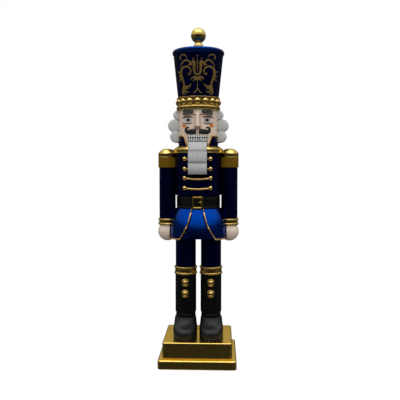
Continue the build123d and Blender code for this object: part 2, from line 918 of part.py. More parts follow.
# Eyebrows: two thick tufts tucked under the hat band.
with BuildPart() as eyebrows:
    with BuildSketch(Plane.XZ):
        with BuildLine():
            Spline((4.6, 285.2), (6.6, 283.6), (11.6, 282.6), (16.0, 281.6), tangents=((0, -1), (1, -0.3)))
            Line((16.0, 281.6), (16.2, 284.6))
            Spline((16.2, 284.6), (14.6, 287.0), (7.0, 287.0), (4.6, 285.2), tangents=((0, 1), (0, -1)))
        make_face()
        mirror(about=Plane.YZ)
    extrude(amount=head_radius + 5)
    add(ring(head_radius, head_radius + 1.6, mouth_top, head_top), mode=Mode.INTERSECT)
save(eyebrows, "eyebrows")


# ---------------------------------------------------------------- hat
def band_profile_solid():
    """Crown band: a broad foot with a fine groove, a plain wall for the bosses and a square rim."""
    wall = band_wall_radius
    foot = band_foot_radius
    with BuildPart() as body:
        with BuildSketch(Plane.XZ):
            with BuildLine():
                Polyline(
                    (0, band_top),
                    (0, head_top),
                    (foot - ridge, head_top),
                    (foot, head_top + ridge),
                    (foot, band_groove_height - ridge),
                    (foot - ridge, band_groove_height),
                    (foot, band_groove_height + ridge),
                    (foot, band_foot_top),
                    (foot - ridge, band_foot_top + 1.2),
                    (wall, band_foot_top + 2.0),
                    (wall, band_rim_bottom),
                    (band_rim_radius, band_rim_bottom + ridge),
                    (band_rim_radius, band_top - ridge),
                    (band_rim_radius - ridge, band_top),
                    (0, band_top),
                )
            make_face()
        revolve(axis=Axis.Z)
    return body.part


with BuildPart() as hat_band:
    add(band_profile_solid())
    add(hat_dowel.part, mode=Mode.SUBTRACT)
save(hat_band, "hat_band")


def band_boss(angle):
    """One round boss on the band's wall."""
    with BuildPart() as boss:
        add(ball(boss_ball_radius, boss_circle * sin(radians(angle)), -boss_circle * cos(radians(angle)), boss_height))
        add(band_profile_solid(), mode=Mode.SUBTRACT)
    return boss.part


with BuildPart() as hat_band_bosses:
    for number in range(boss_count):
        add(band_boss(360 * number / boss_count))
save(hat_band_bosses, "hat_band_bosses")

with BuildPart() as hat_body:
    add(
        turned(
            (
                (0, band_top),
                (hat_bottom_radius, band_top),
                (hat_top_radius, hat_lip_bottom),
                (0, hat_lip_bottom),
            )
        )
    )
    add(hat_dowel.part, mode=Mode.SUBTRACT)
save(hat_body, "hat_body")

with BuildPart() as finial:
    with BuildSketch(Plane.XZ):
        with BuildLine():
            seat = dome_top - 0.2
            ball_centre = total_height - ball_radius
            neck = 4.1
            Polyline(
                (0, seat - finial_peg_length),
                (2.5, seat - finial_peg_length),
                (2.5, seat),
                (finial_collar_radius - 0.3, seat),
                (finial_collar_radius, seat + 0.5),
                (finial_collar_radius, seat + 1.6),
                (finial_collar_radius - 0.8, seat + 2.1),
            )
            ThreePointArc(
                (finial_collar_radius - 0.8, seat + 2.1),
                (finial_collar_radius - 0.7, seat + 3.2),
                (finial_collar_radius - 1.6, finial_collar_top),
            )
            ball_start = (neck, ball_centre - sqrt(ball_radius**2 - neck**2))
            ThreePointArc((finial_collar_radius - 1.6, finial_collar_top), (neck - 0.2, 364.4), ball_start)
            ThreePointArc(ball_start, (ball_radius, ball_centre), (0, total_height))
            Line((0, total_height), (0, seat - finial_peg_length))
        make_face()
    revolve(axis=Axis.Z)
save(finial, "finial")

with BuildPart() as hat_top:
    with BuildSketch(Plane.XZ):
        with BuildLine():
            Line((0, hat_lip_bottom), (hat_top_radius, hat_lip_bottom))
            ThreePointArc((hat_top_radius, hat_lip_bottom), (lip_radius, lip_height), (lip_radius - 1.0, dome_edge))
            ThreePointArc((lip_radius - 1.0, dome_edge), (18.0, 356.0), (finial_collar_radius + 0.3, seat))
            Polyline((finial_collar_radius + 0.3, seat), (0, seat), (0, hat_lip_bottom))
        make_face()
    revolve(axis=Axis.Z)
    add(finial.part, mode=Mode.SUBTRACT)
save(hat_top, "hat_top")


# ---------------------------------------------------------------- hair
def hair_roll(path_radius, height, roll_radius):
    """One roll of hair that runs from temple to temple round the back of the head."""
    start = radians(hair_front_angle)
    start_plane = Plane(
        origin=(0, 0, 0),
        x_dir=(cos(start), sin(start), 0),
        z_dir=(sin(start), -cos(start), 0),
    )
    with BuildPart() as roll:
        with BuildSketch(start_plane):
            with Locations((path_radius, height)):
                Circle(roll_radius)
        revolve(axis=Axis.Z, revolution_arc=180 - 2 * hair_front_angle)
    return roll.part


upper_roll = hair_roll(*hair_rolls["upper"])
middle_roll = hair_roll(*hair_rolls["middle"])
lower_roll = hair_roll(*hair_rolls["lower"])

with BuildPart() as head_clearance:
    add(rod(head_radius + 0.05, collar_top, head_top + 0.05))
    add(rod(collar_outer + 0.6, yoke_top, collar_top + 0.4))
    add(rod(band_foot_radius, head_top, band_top))

with BuildPart() as hair_middle_roll:
    add(middle_roll)
    add(head_clearance.part, mode=Mode.SUBTRACT)
save(hair_middle_roll, "hair_middle_roll")

with BuildPart() as hair_upper_roll:
    add(upper_roll)
    add(head_clearance.part, mode=Mode.SUBTRACT)
    add(middle_roll, mode=Mode.SUBTRACT)
save(hair_upper_roll, "hair_upper_roll")

with BuildPart() as hair_lower_roll:
    add(lower_roll)
    add(head_clearance.part, mode=Mode.SUBTRACT)
    add(middle_roll, mode=Mode.SUBTRACT)
save(hair_lower_roll, "hair_lower_roll")
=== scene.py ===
import bpy
import bmesh
from math import asin, atan2, cos, pi, radians, sin, sqrt
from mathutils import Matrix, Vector, noise as field


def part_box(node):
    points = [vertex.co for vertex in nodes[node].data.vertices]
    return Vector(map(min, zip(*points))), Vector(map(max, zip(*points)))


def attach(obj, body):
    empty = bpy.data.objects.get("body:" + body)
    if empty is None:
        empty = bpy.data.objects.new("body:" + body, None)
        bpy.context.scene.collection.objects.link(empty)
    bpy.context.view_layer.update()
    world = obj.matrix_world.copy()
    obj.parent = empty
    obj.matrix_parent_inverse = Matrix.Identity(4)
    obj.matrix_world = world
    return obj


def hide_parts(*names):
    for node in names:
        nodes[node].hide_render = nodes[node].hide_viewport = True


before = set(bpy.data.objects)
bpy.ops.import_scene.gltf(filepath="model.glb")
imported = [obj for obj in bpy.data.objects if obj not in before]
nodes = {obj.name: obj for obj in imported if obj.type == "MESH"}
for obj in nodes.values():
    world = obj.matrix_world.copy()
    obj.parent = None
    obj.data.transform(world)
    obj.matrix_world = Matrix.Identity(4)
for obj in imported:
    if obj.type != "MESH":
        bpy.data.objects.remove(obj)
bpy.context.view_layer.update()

MM = 0.001
FIGURE = "figure"
JAW = "jaw"
SIDES = (1, -1)


# -------------------- sizes read from the frame, in mm
def low_corner(node):
    """Corner of the node's box with the smallest X, Y and Z."""
    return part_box(node)[0] / MM


def high_corner(node):
    """Corner of the node's box with the largest X, Y and Z."""
    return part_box(node)[1] / MM


def half_width(node):
    return (high_corner(node).x - low_corner(node).x) / 2


def middle_x(node):
    return (high_corner(node).x + low_corner(node).x) / 2


head_radius = half_width("head")
torso_radius = high_corner("torso").x
belt_radius = high_corner("belt").x
belt_low = low_corner("belt").z
belt_high = high_corner("belt").z
beard_half = half_width("beard")
beard_tip = low_corner("beard").z
mouth_low = low_corner("lower_teeth").z
mouth_high = high_corner("upper_teeth").z
hat_low = low_corner("hat_body").z
hat_high = high_corner("hat_body").z


# -------------------- camera, light and stage
def add_object(name, data):
    """New object in the scene that shows the data."""
    obj = bpy.data.objects.new(name, data)
    bpy.context.scene.collection.objects.link(obj)
    return obj


def look_at(obj, target):
    """Turns a camera or lamp towards a point."""
    obj.rotation_mode = "QUATERNION"
    obj.rotation_quaternion = (Vector(target) - obj.location).to_track_quat("-Z", "Y")


def make_camera():
    """Slightly above the figure's middle and a little to its left, looking a few degrees down."""
    distance, height, azimuth = 0.640, 0.218, radians(2.4)
    pitch, pan = radians(2.9), radians(0.165)
    data = bpy.data.cameras.new("camera")
    data.lens = 50
    data.sensor_width = 36
    camera = add_object("camera", data)
    camera.location = (distance * sin(azimuth), -distance * cos(azimuth), height)
    turn = azimuth - pan
    ahead = Vector((-sin(turn) * cos(pitch), cos(turn) * cos(pitch), -sin(pitch)))
    look_at(camera, camera.location + ahead)
    bpy.context.scene.camera = camera


def area_light(name, place, size, power, glossy=False):
    """Rectangular lamp aimed at the figure's middle; gloss reflects it only if asked to."""
    data = bpy.data.lights.new(name, "AREA")
    data.shape = "RECTANGLE"
    data.size, data.size_y = size
    data.energy = power
    light = add_object(name, data)
    light.location = place
    look_at(light, (0, 0, 0.2))
    light.visible_glossy = glossy


# Greys that gloss reflects, as (direction, grey) with both ends of the run first. The direction is the
# reflected ray's Z in the two skies, from -1 straight down to 1 straight up, and its X in the side glow.
FRONT_SKY = ((-1.0, 0.45), (1.0, 1.1), (-0.7, 0.25), (-0.42, 0.03),
             (0.10, 0.02), (0.2, 0.05), (0.3, 0.85), (0.55, 1.15))
BACK_SKY = ((-1.0, 0.45), (1.0, 1.1), (-0.7, 0.2), (-0.42, 0.02), (0.19, 0.015), (0.27, 0.5))
SIDE_GLOW = ((-1.0, 0.09), (1.0, 0.09), (-0.8, 0.07), (-0.45, 0.0), (0.45, 0.0), (0.8, 0.07))


def make_lights():
    """A softbox overhead, and fill from the front, sides and back that gloss doesn't reflect."""
    area_light("overhead", (0.0, -0.12, 0.95), (0.8, 0.6), 4, glossy=True)
    area_light("front_fill", (0.15, -1.3, 0.55), (1.0, 1.0), 7)
    area_light("left_fill", (-1.2, -0.5, 0.4), (0.6, 0.9), 3)
    area_light("right_fill", (1.2, -0.5, 0.4), (0.6, 0.9), 3)
    area_light("back_fill", (0.0, 1.2, 0.6), (0.9, 0.9), 6)


def make_world():
    """White to the camera. Gloss reflects a studio that is dark at eye level, pale overhead, grey
    underfoot and faintly lit from both sides."""
    world = bpy.data.worlds.new("studio")
    bpy.context.scene.world = world
    world.use_nodes = True
    tree = world.node_tree
    tree.nodes.clear()
    link = tree.links.new

    def new(kind):
        return tree.nodes.new("ShaderNode" + kind)

    coords = new("TexCoord")
    split = new("SeparateXYZ")
    link(coords.outputs["Generated"], split.inputs[0])

    def gradient(output, stops):
        """Grey against one direction component, whose stops run from -1 to 1."""
        span = new("MapRange")
        span.inputs["From Min"].default_value = -1
        link(split.outputs[output], span.inputs["Value"])
        ramp = new("ValToRGB")
        elements = ramp.color_ramp.elements
        for number, (place, grey) in enumerate(stops):
            element = elements[number] if number < 2 else elements.new((place + 1) / 2)
            element.position = (place + 1) / 2
            element.color = (grey, grey, grey, 1)
        link(span.outputs["Result"], ramp.inputs[0])
        return ramp.outputs[0]

    front = gradient("Z", FRONT_SKY)
    back = gradient("Z", BACK_SKY)
    behind = gradient("Y", ((0.0, 0.0), (0.35, 1.0)))
    sides = gradient("X", SIDE_GLOW)
    mix = new("MixRGB")
    lighter = new("MixRGB")
    lighter.blend_type = "LIGHTEN"
    lighter.inputs[0].default_value = 1.0
    studio = new("Background")
    white = new("Background")
    path = new("LightPath")
    choose = new("MixShader")
    out = new("OutputWorld")
    link(behind, mix.inputs[0])
    link(front, mix.inputs[1])
    link(back, mix.inputs[2])
    link(mix.outputs[0], lighter.inputs[1])
    link(sides, lighter.inputs[2])
    link(lighter.outputs[0], studio.inputs["Color"])
    white.inputs["Color"].default_value = (1, 1, 1, 1)
    link(path.outputs["Is Camera Ray"], choose.inputs[0])
    link(studio.outputs[0], choose.inputs[1])
    link(white.outputs[0], choose.inputs[2])
    link(choose.outputs[0], out.inputs["Surface"])


def make_floor():
    """White sheet that only the camera sees, so that it throws no light on the figure."""
    mesh = bpy.data.meshes.new("floor")
    reach = 4
    corners = [(-reach, -reach, 0), (reach, -reach, 0), (reach, reach, 0), (-reach, reach, 0)]
    mesh.from_pydata(corners, [], [(0, 1, 2, 3)])
    floor = add_object("floor", mesh)
    floor.visible_glossy = False
    floor.visible_diffuse = False
    mat = bpy.data.materials.new("floor_white")
    mat.use_nodes = True
    shader = mat.node_tree.nodes["Principled BSDF"]
    shader.inputs["Base Color"].default_value = (0.02, 0.02, 0.02, 1)
    shader.inputs["Roughness"].default_value = 1.0
    shader.inputs["Specular IOR Level"].default_value = 0.0
    shader.inputs["Emission Color"].default_value = (1, 1, 1, 1)
    shader.inputs["Emission Strength"].default_value = 1.0
    mesh.materials.append(mat)


scene = bpy.context.scene
scene.view_settings.view_transform = "Standard"
scene.view_settings.look = "None"
make_camera()
make_lights()
make_world()
make_floor()


# -------------------- materials
class Finish:
    """Builds one procedural material: a Principled shader with pattern nodes in millimetre scale."""

    def __init__(self, name, roughness, metallic=0.0, sheen=0.0, specular=0.5):
        self.material = bpy.data.materials.new(name)
        self.material.use_nodes = True
        self.tree = self.material.node_tree
        self.link = self.tree.links.new
        self.shader = self.tree.nodes["Principled BSDF"]
        self.coords = self.new("TexCoord")
        for socket, value in (
            ("Roughness", roughness),
            ("Metallic", metallic),
            ("Sheen Weight", sheen),
            ("Specular IOR Level", specular),
        ):
            self.shader.inputs[socket].default_value = value
        self.bump_chain = None

    def new(self, kind):
        return self.tree.nodes.new("ShaderNode" + kind)

    def mapping(self, scale=(1, 1, 1)):
        """The object's own coordinates, scaled along each axis."""
        node = self.new("Mapping")
        node.inputs["Scale"].default_value = scale
        self.link(self.coords.outputs["Object"], node.inputs["Vector"])
        return node.outputs["Vector"]

    def noise(self, size_mm, detail=4.0, stretch=(1, 1, 1)):
        """Noise whose grains are about size_mm across, stretched along the axes."""
        node = self.new("TexNoise")
        node.inputs["Scale"].default_value = 1 / (size_mm * MM)
        node.inputs["Detail"].default_value = detail
        self.link(self.mapping([1 / s for s in stretch]), node.inputs["Vector"])
        return node.outputs["Fac"]

    def cells(self, size_mm):
        """Leather-like cells about size_mm across, falling to zero at their edges."""
        node = self.new("TexVoronoi")
        node.feature = "DISTANCE_TO_EDGE"
        node.inputs["Scale"].default_value = 1 / (size_mm * MM)
        self.link(self.mapping(), node.inputs["Vector"])
        return node.outputs["Distance"]

    def colour(self, value, dark, light):
        """Base colour that runs from dark to light with the pattern."""
        ramp = self.new("ValToRGB")
        for element, place, colour in zip(ramp.color_ramp.elements, (0.3, 0.7), (dark, light)):
            element.position = place
            element.color = (*colour, 1)
        self.link(value, ramp.inputs["Fac"])
        self.link(ramp.outputs["Color"], self.shader.inputs["Base Color"])

    def rough(self, value, low, high):
        """Roughness that runs from low to high with the pattern."""
        node = self.new("MapRange")
        node.inputs["To Min"].default_value = low
        node.inputs["To Max"].default_value = high
        self.link(value, node.inputs["Value"])
        self.link(node.outputs["Result"], self.shader.inputs["Roughness"])

    def bump(self, value, height_mm, strength):
        """Relief that rises with the pattern, added to the bumps that the finish already has."""
        node = self.new("Bump")
        node.inputs["Distance"].default_value = height_mm * MM
        node.inputs["Strength"].default_value = strength
        self.link(value, node.inputs["Height"])
        if self.bump_chain is not None:
            self.link(self.bump_chain, node.inputs["Normal"])
        self.bump_chain = node.outputs["Normal"]
        self.link(self.bump_chain, self.shader.inputs["Normal"])


def gold_finish(name, dark, light, rough_low, rough_high):
    """Metallic lacquer over wood: cloudy colour, faint brush marks and orange peel."""
    finish = Finish(name, rough_low, metallic=1.0)
    finish.shader.inputs["Specular Tint"].default_value = (1.0, 0.85, 0.48, 1)
    finish.colour(finish.noise(9, 3), dark, light)
    finish.rough(finish.noise(3.5, 5), rough_low, rough_high)
    finish.bump(finish.noise(0.9, 3), 0.003, 0.3)
    finish.bump(finish.noise(2.4, 2, stretch=(3, 3, 0.6)), 0.007, 0.25)
    return finish.material


def navy_finish(name, dark, light, rough_low, rough_high, metallic):
    """Deep blue lacquer with a metallic ground."""
    finish = Finish(name, rough_low, metallic=metallic)
    finish.colour(finish.noise(14, 3), dark, light)
    finish.rough(finish.noise(5, 5), rough_low, rough_high)
    finish.bump(finish.noise(1.1, 3), 0.02, 0.4)
    finish.bump(finish.noise(5, 3, stretch=(0.35, 0.35, 5)), 0.06, 0.3)
    return finish.material


def wood_paint(name, dark, light, rough_low, rough_high, specular=0.5):
    """Opaque paint on turned wood, whose upright grain just telegraphs through."""
    finish = Finish(name, rough_low, specular=specular)
    finish.colour(finish.noise(7, 4, stretch=(0.6, 0.6, 4)), dark, light)
    finish.rough(finish.noise(4, 4), rough_low, rough_high)
    finish.bump(finish.noise(1.6, 4, stretch=(0.4, 0.4, 9)), 0.05, 0.4)
    finish.bump(finish.noise(0.6, 2), 0.012, 0.4)
    return finish.material


def soft_paint(name, dark, light, rough_low, rough_high):
    """Smooth matt paint with faint cloudiness."""
    finish = Finish(name, rough_low, specular=0.35)
    finish.colour(finish.noise(11, 3), dark, light)
    finish.rough(finish.noise(5, 4), rough_low, rough_high)
    finish.bump(finish.noise(0.7, 3), 0.01, 0.35)
    finish.bump(finish.noise(2.2, 3, stretch=(0.6, 0.6, 5)), 0.02, 0.25)
    return finish.material


def strand_finish(name, dark, light, roughness, stretch=(0.25, 0.25, 12), size_mm=0.9,
                  sheen=0.2, specular=0.5):
    """Combed fibres: fine streaks that run along the strands."""
    finish = Finish(name, roughness, sheen=sheen, specular=specular)
    finish.colour(finish.noise(size_mm, 4, stretch=stretch), dark, light)
    finish.bump(finish.noise(size_mm * 0.6, 3, stretch=stretch), 0.12, 0.6)
    return finish.material


def leather_finish(name):
    """Near-black leather with a fine pebbled grain."""
    finish = Finish(name, 0.45, specular=0.05)
    finish.colour(finish.noise(6, 4), (0.002, 0.002, 0.002), (0.006, 0.0055, 0.005))
    finish.rough(finish.noise(2, 4), 0.38, 0.58)
    finish.bump(finish.cells(0.7), 0.08, 0.35)
    finish.bump(finish.noise(3, 4), 0.08, 0.3)
    return finish.material


def felt_finish(name):
    """Dark green felt with a short fuzzy nap."""
    finish = Finish(name, 0.95, sheen=0.4)
    finish.colour(finish.noise(0.8, 5), (0.015, 0.03, 0.02), (0.03, 0.055, 0.035))
    finish.bump(finish.noise(0.35, 4), 0.1, 0.8)
    return finish.material


def raw_wood_finish(name):
    """Bare pale wood whose grain runs upright."""
    finish = Finish(name, 0.6)
    finish.colour(finish.noise(3, 5, stretch=(0.4, 0.4, 8)), (0.42, 0.27, 0.14), (0.66, 0.48, 0.3))
    finish.bump(finish.noise(0.8, 4, stretch=(0.4, 0.4, 8)), 0.06, 0.5)
    return finish.material


def steel_finish(name):
    """Bright steel with marks drawn out along X."""
    finish = Finish(name, 0.3, metallic=1.0)
    finish.colour(finish.noise(2, 3), (0.42, 0.42, 0.43), (0.6, 0.6, 0.61))
    finish.bump(finish.noise(0.5, 3, stretch=(6, 0.5, 0.5)), 0.02, 0.4)
    return finish.material


GOLD = gold_finish("gold_lacquer", (0.52, 0.355, 0.105), (0.63, 0.445, 0.145), 0.17, 0.24)
GOLD_BRIGHT = gold_finish("gold_bright", (0.60, 0.40, 0.12), (0.72, 0.50, 0.17), 0.14, 0.2)
GOLD_BUCKLE = gold_finish("gold_buckle", (0.36, 0.24, 0.04), (0.48, 0.33, 0.07), 0.2, 0.28)
GOLD_BASE = gold_finish("gold_plinth", (0.72, 0.49, 0.11), (0.82, 0.57, 0.15), 0.16, 0.22)
GOLD_CORD = gold_finish("gold_cord", (0.58, 0.36, 0.11), (0.74, 0.48, 0.18), 0.3, 0.42)
GOLD_SCROLL = soft_paint("gold_scroll_paint", (0.078, 0.046, 0.002), (0.115, 0.07, 0.005), 0.5, 0.65)
FRINGE = strand_finish("fringe_bullion", (0.085, 0.042, 0.001), (0.165, 0.092, 0.003), 0.5,
                       size_mm=0.7, sheen=0.0, specular=0.1)
NAVY = navy_finish("navy_lacquer", (0.0, 0.002, 0.042), (0.0003, 0.004, 0.062), 0.2, 0.28, 0.9)
BLUE = navy_finish("blue_lacquer", (0.0005, 0.038, 0.29), (0.001, 0.05, 0.37), 0.18, 0.25, 1.0)
HAT_BLUE = navy_finish("hat_top_lacquer", (0.002, 0.02, 0.13), (0.003, 0.028, 0.17), 0.28, 0.36, 1.0)
BLACK = wood_paint("black_lacquer", (0.001, 0.001, 0.001), (0.003, 0.003, 0.003), 0.28, 0.4, 0.2)
SHOE_BLACK = wood_paint("shoe_black", (0.002, 0.002, 0.002), (0.005, 0.005, 0.005), 0.4, 0.52, 0.35)
SKIN = soft_paint("flesh_paint", (0.51, 0.395, 0.31), (0.57, 0.445, 0.355), 0.45, 0.58)
HAND_SKIN = soft_paint("hand_paint", (0.52, 0.42, 0.345), (0.57, 0.465, 0.385), 0.55, 0.68)
LEATHER = leather_finish("belt_leather")
THREAD = strand_finish("belt_thread", (0.012, 0.011, 0.01), (0.03, 0.028, 0.025), 0.7,
                       stretch=(1, 1, 1), size_mm=0.3)
FELT = felt_finish("felt")
RAW_WOOD = raw_wood_finish("raw_wood")
STEEL = steel_finish("steel")
HAIR = strand_finish("hair_grey", (0.35, 0.35, 0.346), (0.46, 0.46, 0.452), 0.6,
                     stretch=(3, 3, 3), size_mm=0.5)
BEARD = strand_finish("beard_white", (0.245, 0.245, 0.245), (0.345, 0.345, 0.345), 0.5)
DARK_HAIR = strand_finish("dark_hair", (0.012, 0.014, 0.014), (0.05, 0.055, 0.055), 0.6, stretch=(6, 1, 1))
MUSTACHE = wood_paint("mustache_paint", (0.004, 0.004, 0.004), (0.009, 0.009, 0.008), 0.5, 0.6, 0.25)
ENAMEL = wood_paint("tooth_enamel", (0.5, 0.5, 0.5), (0.62, 0.62, 0.61), 0.25, 0.35)
# The same enamel painted darker for the lower row, as painted shade under the upper teeth.
ENAMEL_PAINTED_SHADE = wood_paint("tooth_enamel_painted_shade", (0.36, 0.36, 0.36), (0.46, 0.46, 0.46), 0.3, 0.4)
# Near-black plate behind the teeth: painted shadow in the gaps between them.
TEETH_GAP_SHADOW = wood_paint("teeth_gap_painted_shadow", (0.01, 0.01, 0.01), (0.02, 0.018, 0.018), 0.5, 0.6)
EYE_WHITE = wood_paint("eye_white", (0.33, 0.325, 0.335), (0.42, 0.415, 0.42), 0.2, 0.3, 0.3)
IRIS = wood_paint("iris_brown", (0.10, 0.055, 0.03), (0.2, 0.12, 0.07), 0.2, 0.3)
PUPIL = wood_paint("pupil_black", (0.003, 0.003, 0.004), (0.008, 0.007, 0.008), 0.15, 0.2)
LASH = wood_paint("lash_black", (0.006, 0.006, 0.009), (0.014, 0.014, 0.018), 0.4, 0.5)
LID = wood_paint("lid_brown", (0.15, 0.07, 0.03), (0.24, 0.125, 0.06), 0.5, 0.6, 0.3)
CHEEK = wood_paint("cheek_orange", (0.43, 0.098, 0.015), (0.52, 0.14, 0.03), 0.45, 0.55, 0.3)
# Soft brown for painted shade on the sides of the nose.
NOSE_SIDE_SHADE = wood_paint("nose_side_painted_shade", (0.37, 0.25, 0.175), (0.43, 0.3, 0.215), 0.5, 0.6)
NOSE_SHADE = wood_paint("nose_shade", (0.28, 0.16, 0.1), (0.36, 0.22, 0.145), 0.5, 0.6)

def both(*names):
    """The left and the right node of each name."""
    return tuple(f"{name}_{side}" for name in names for side in ("left", "right"))


CAD_FINISHES = (
    (GOLD_BASE, ("base_lower_tier", "base_upper_tier")),
    (GOLD, both("boot_cuff", "cuff", "epaulette")),
    (GOLD, ("shoulder_yoke", "hat_band", "hat_band_bosses", "finial")),
    (GOLD_BRIGHT, ("coat_buttons", "boot_buttons", "belt_buckle", "buckle_prong")),
    (GOLD_CORD, ("coat_braid", "collar_piping", "skirt_piping")),
    (FRINGE, both("epaulette_fringe")),
    (NAVY, both("arm", "trouser_leg")),
    (NAVY, ("torso", "collar", "hat_body", "jaw_lever")),
    (BLUE, ("coat_skirt", "pelvis_block")),
    (HAT_BLUE, ("hat_top",)),
    (BLACK, both("boot")),
    (SHOE_BLACK, both("shoe")),
    (SKIN, ("head", "nose")),
    (HAND_SKIN, both("hand")),
    (LEATHER, ("belt",)),
    (FELT, ("base_felt_pad",)),
    (RAW_WOOD, ("leg_dowels", "waist_dowel", "arm_dowels", "neck_dowels", "hat_dowel")),
    (STEEL, ("base_screws", "jaw_pin")),
    (HAIR, ("hair_upper_roll", "hair_middle_roll", "hair_lower_roll")),
    (BEARD, ("beard",)),
    (DARK_HAIR, ("eyebrows",)),
    (MUSTACHE, ("mustache",)),
    (ENAMEL, ("upper_teeth", "lower_teeth")),
)
for finish, names in CAD_FINISHES:
    for name in names:
        data = nodes[name].data
        data.materials.clear()
        data.materials.append(finish)


# -------------------- mesh helpers, in mm
def smooth(points, spans=6):
    """Points along the Catmull-Rom curve through the given ones, which may have any number of values."""
    out = []
    last = len(points) - 1
    for i in range(last):
        p0, p1, p2, p3 = points[max(i - 1, 0)], points[i], points[i + 1], points[min(i + 2, last)]
        for k in range(spans):
            t = k / spans
            weights = (-t + 2 * t**2 - t**3, 2 - 5 * t**2 + 3 * t**3, t + 4 * t**2 - 3 * t**3, t**3 - t**2)
            values = zip(p0, p1, p2, p3)
            out.append(tuple(sum(w * v for w, v in zip(weights, value)) / 2 for value in values))
    out.append(tuple(points[last]))
    return out


def full_turn(count):
    """Equally spaced angles once round a circle."""
    return [2 * pi * k / count for k in range(count)]


def radius_at(node, height):
    """Largest distance from the axis of the node's own points within 1 mm of a height."""
    near = [v.co / MM for v in nodes[node].data.vertices if abs(v.co.z / MM - height) < 1.0]
    return max(sqrt(p.x**2 + p.y**2) for p in near)


def round_place(radius_of):
    """Wraps (x, z, proud) round a turned surface whose radius at height z is radius_of(z)."""

    def place(x, z, proud):
        radius = radius_of(z)
        angle = asin(max(-1.0, min(1.0, x / radius)))
        return ((radius + proud) * sin(angle), -(radius + proud) * cos(angle), z)

    return place


def flat_place(front):
    """Stands (x, z, proud) on the upright plane y = front."""
    return lambda x, z, proud: (x, front - proud, z)


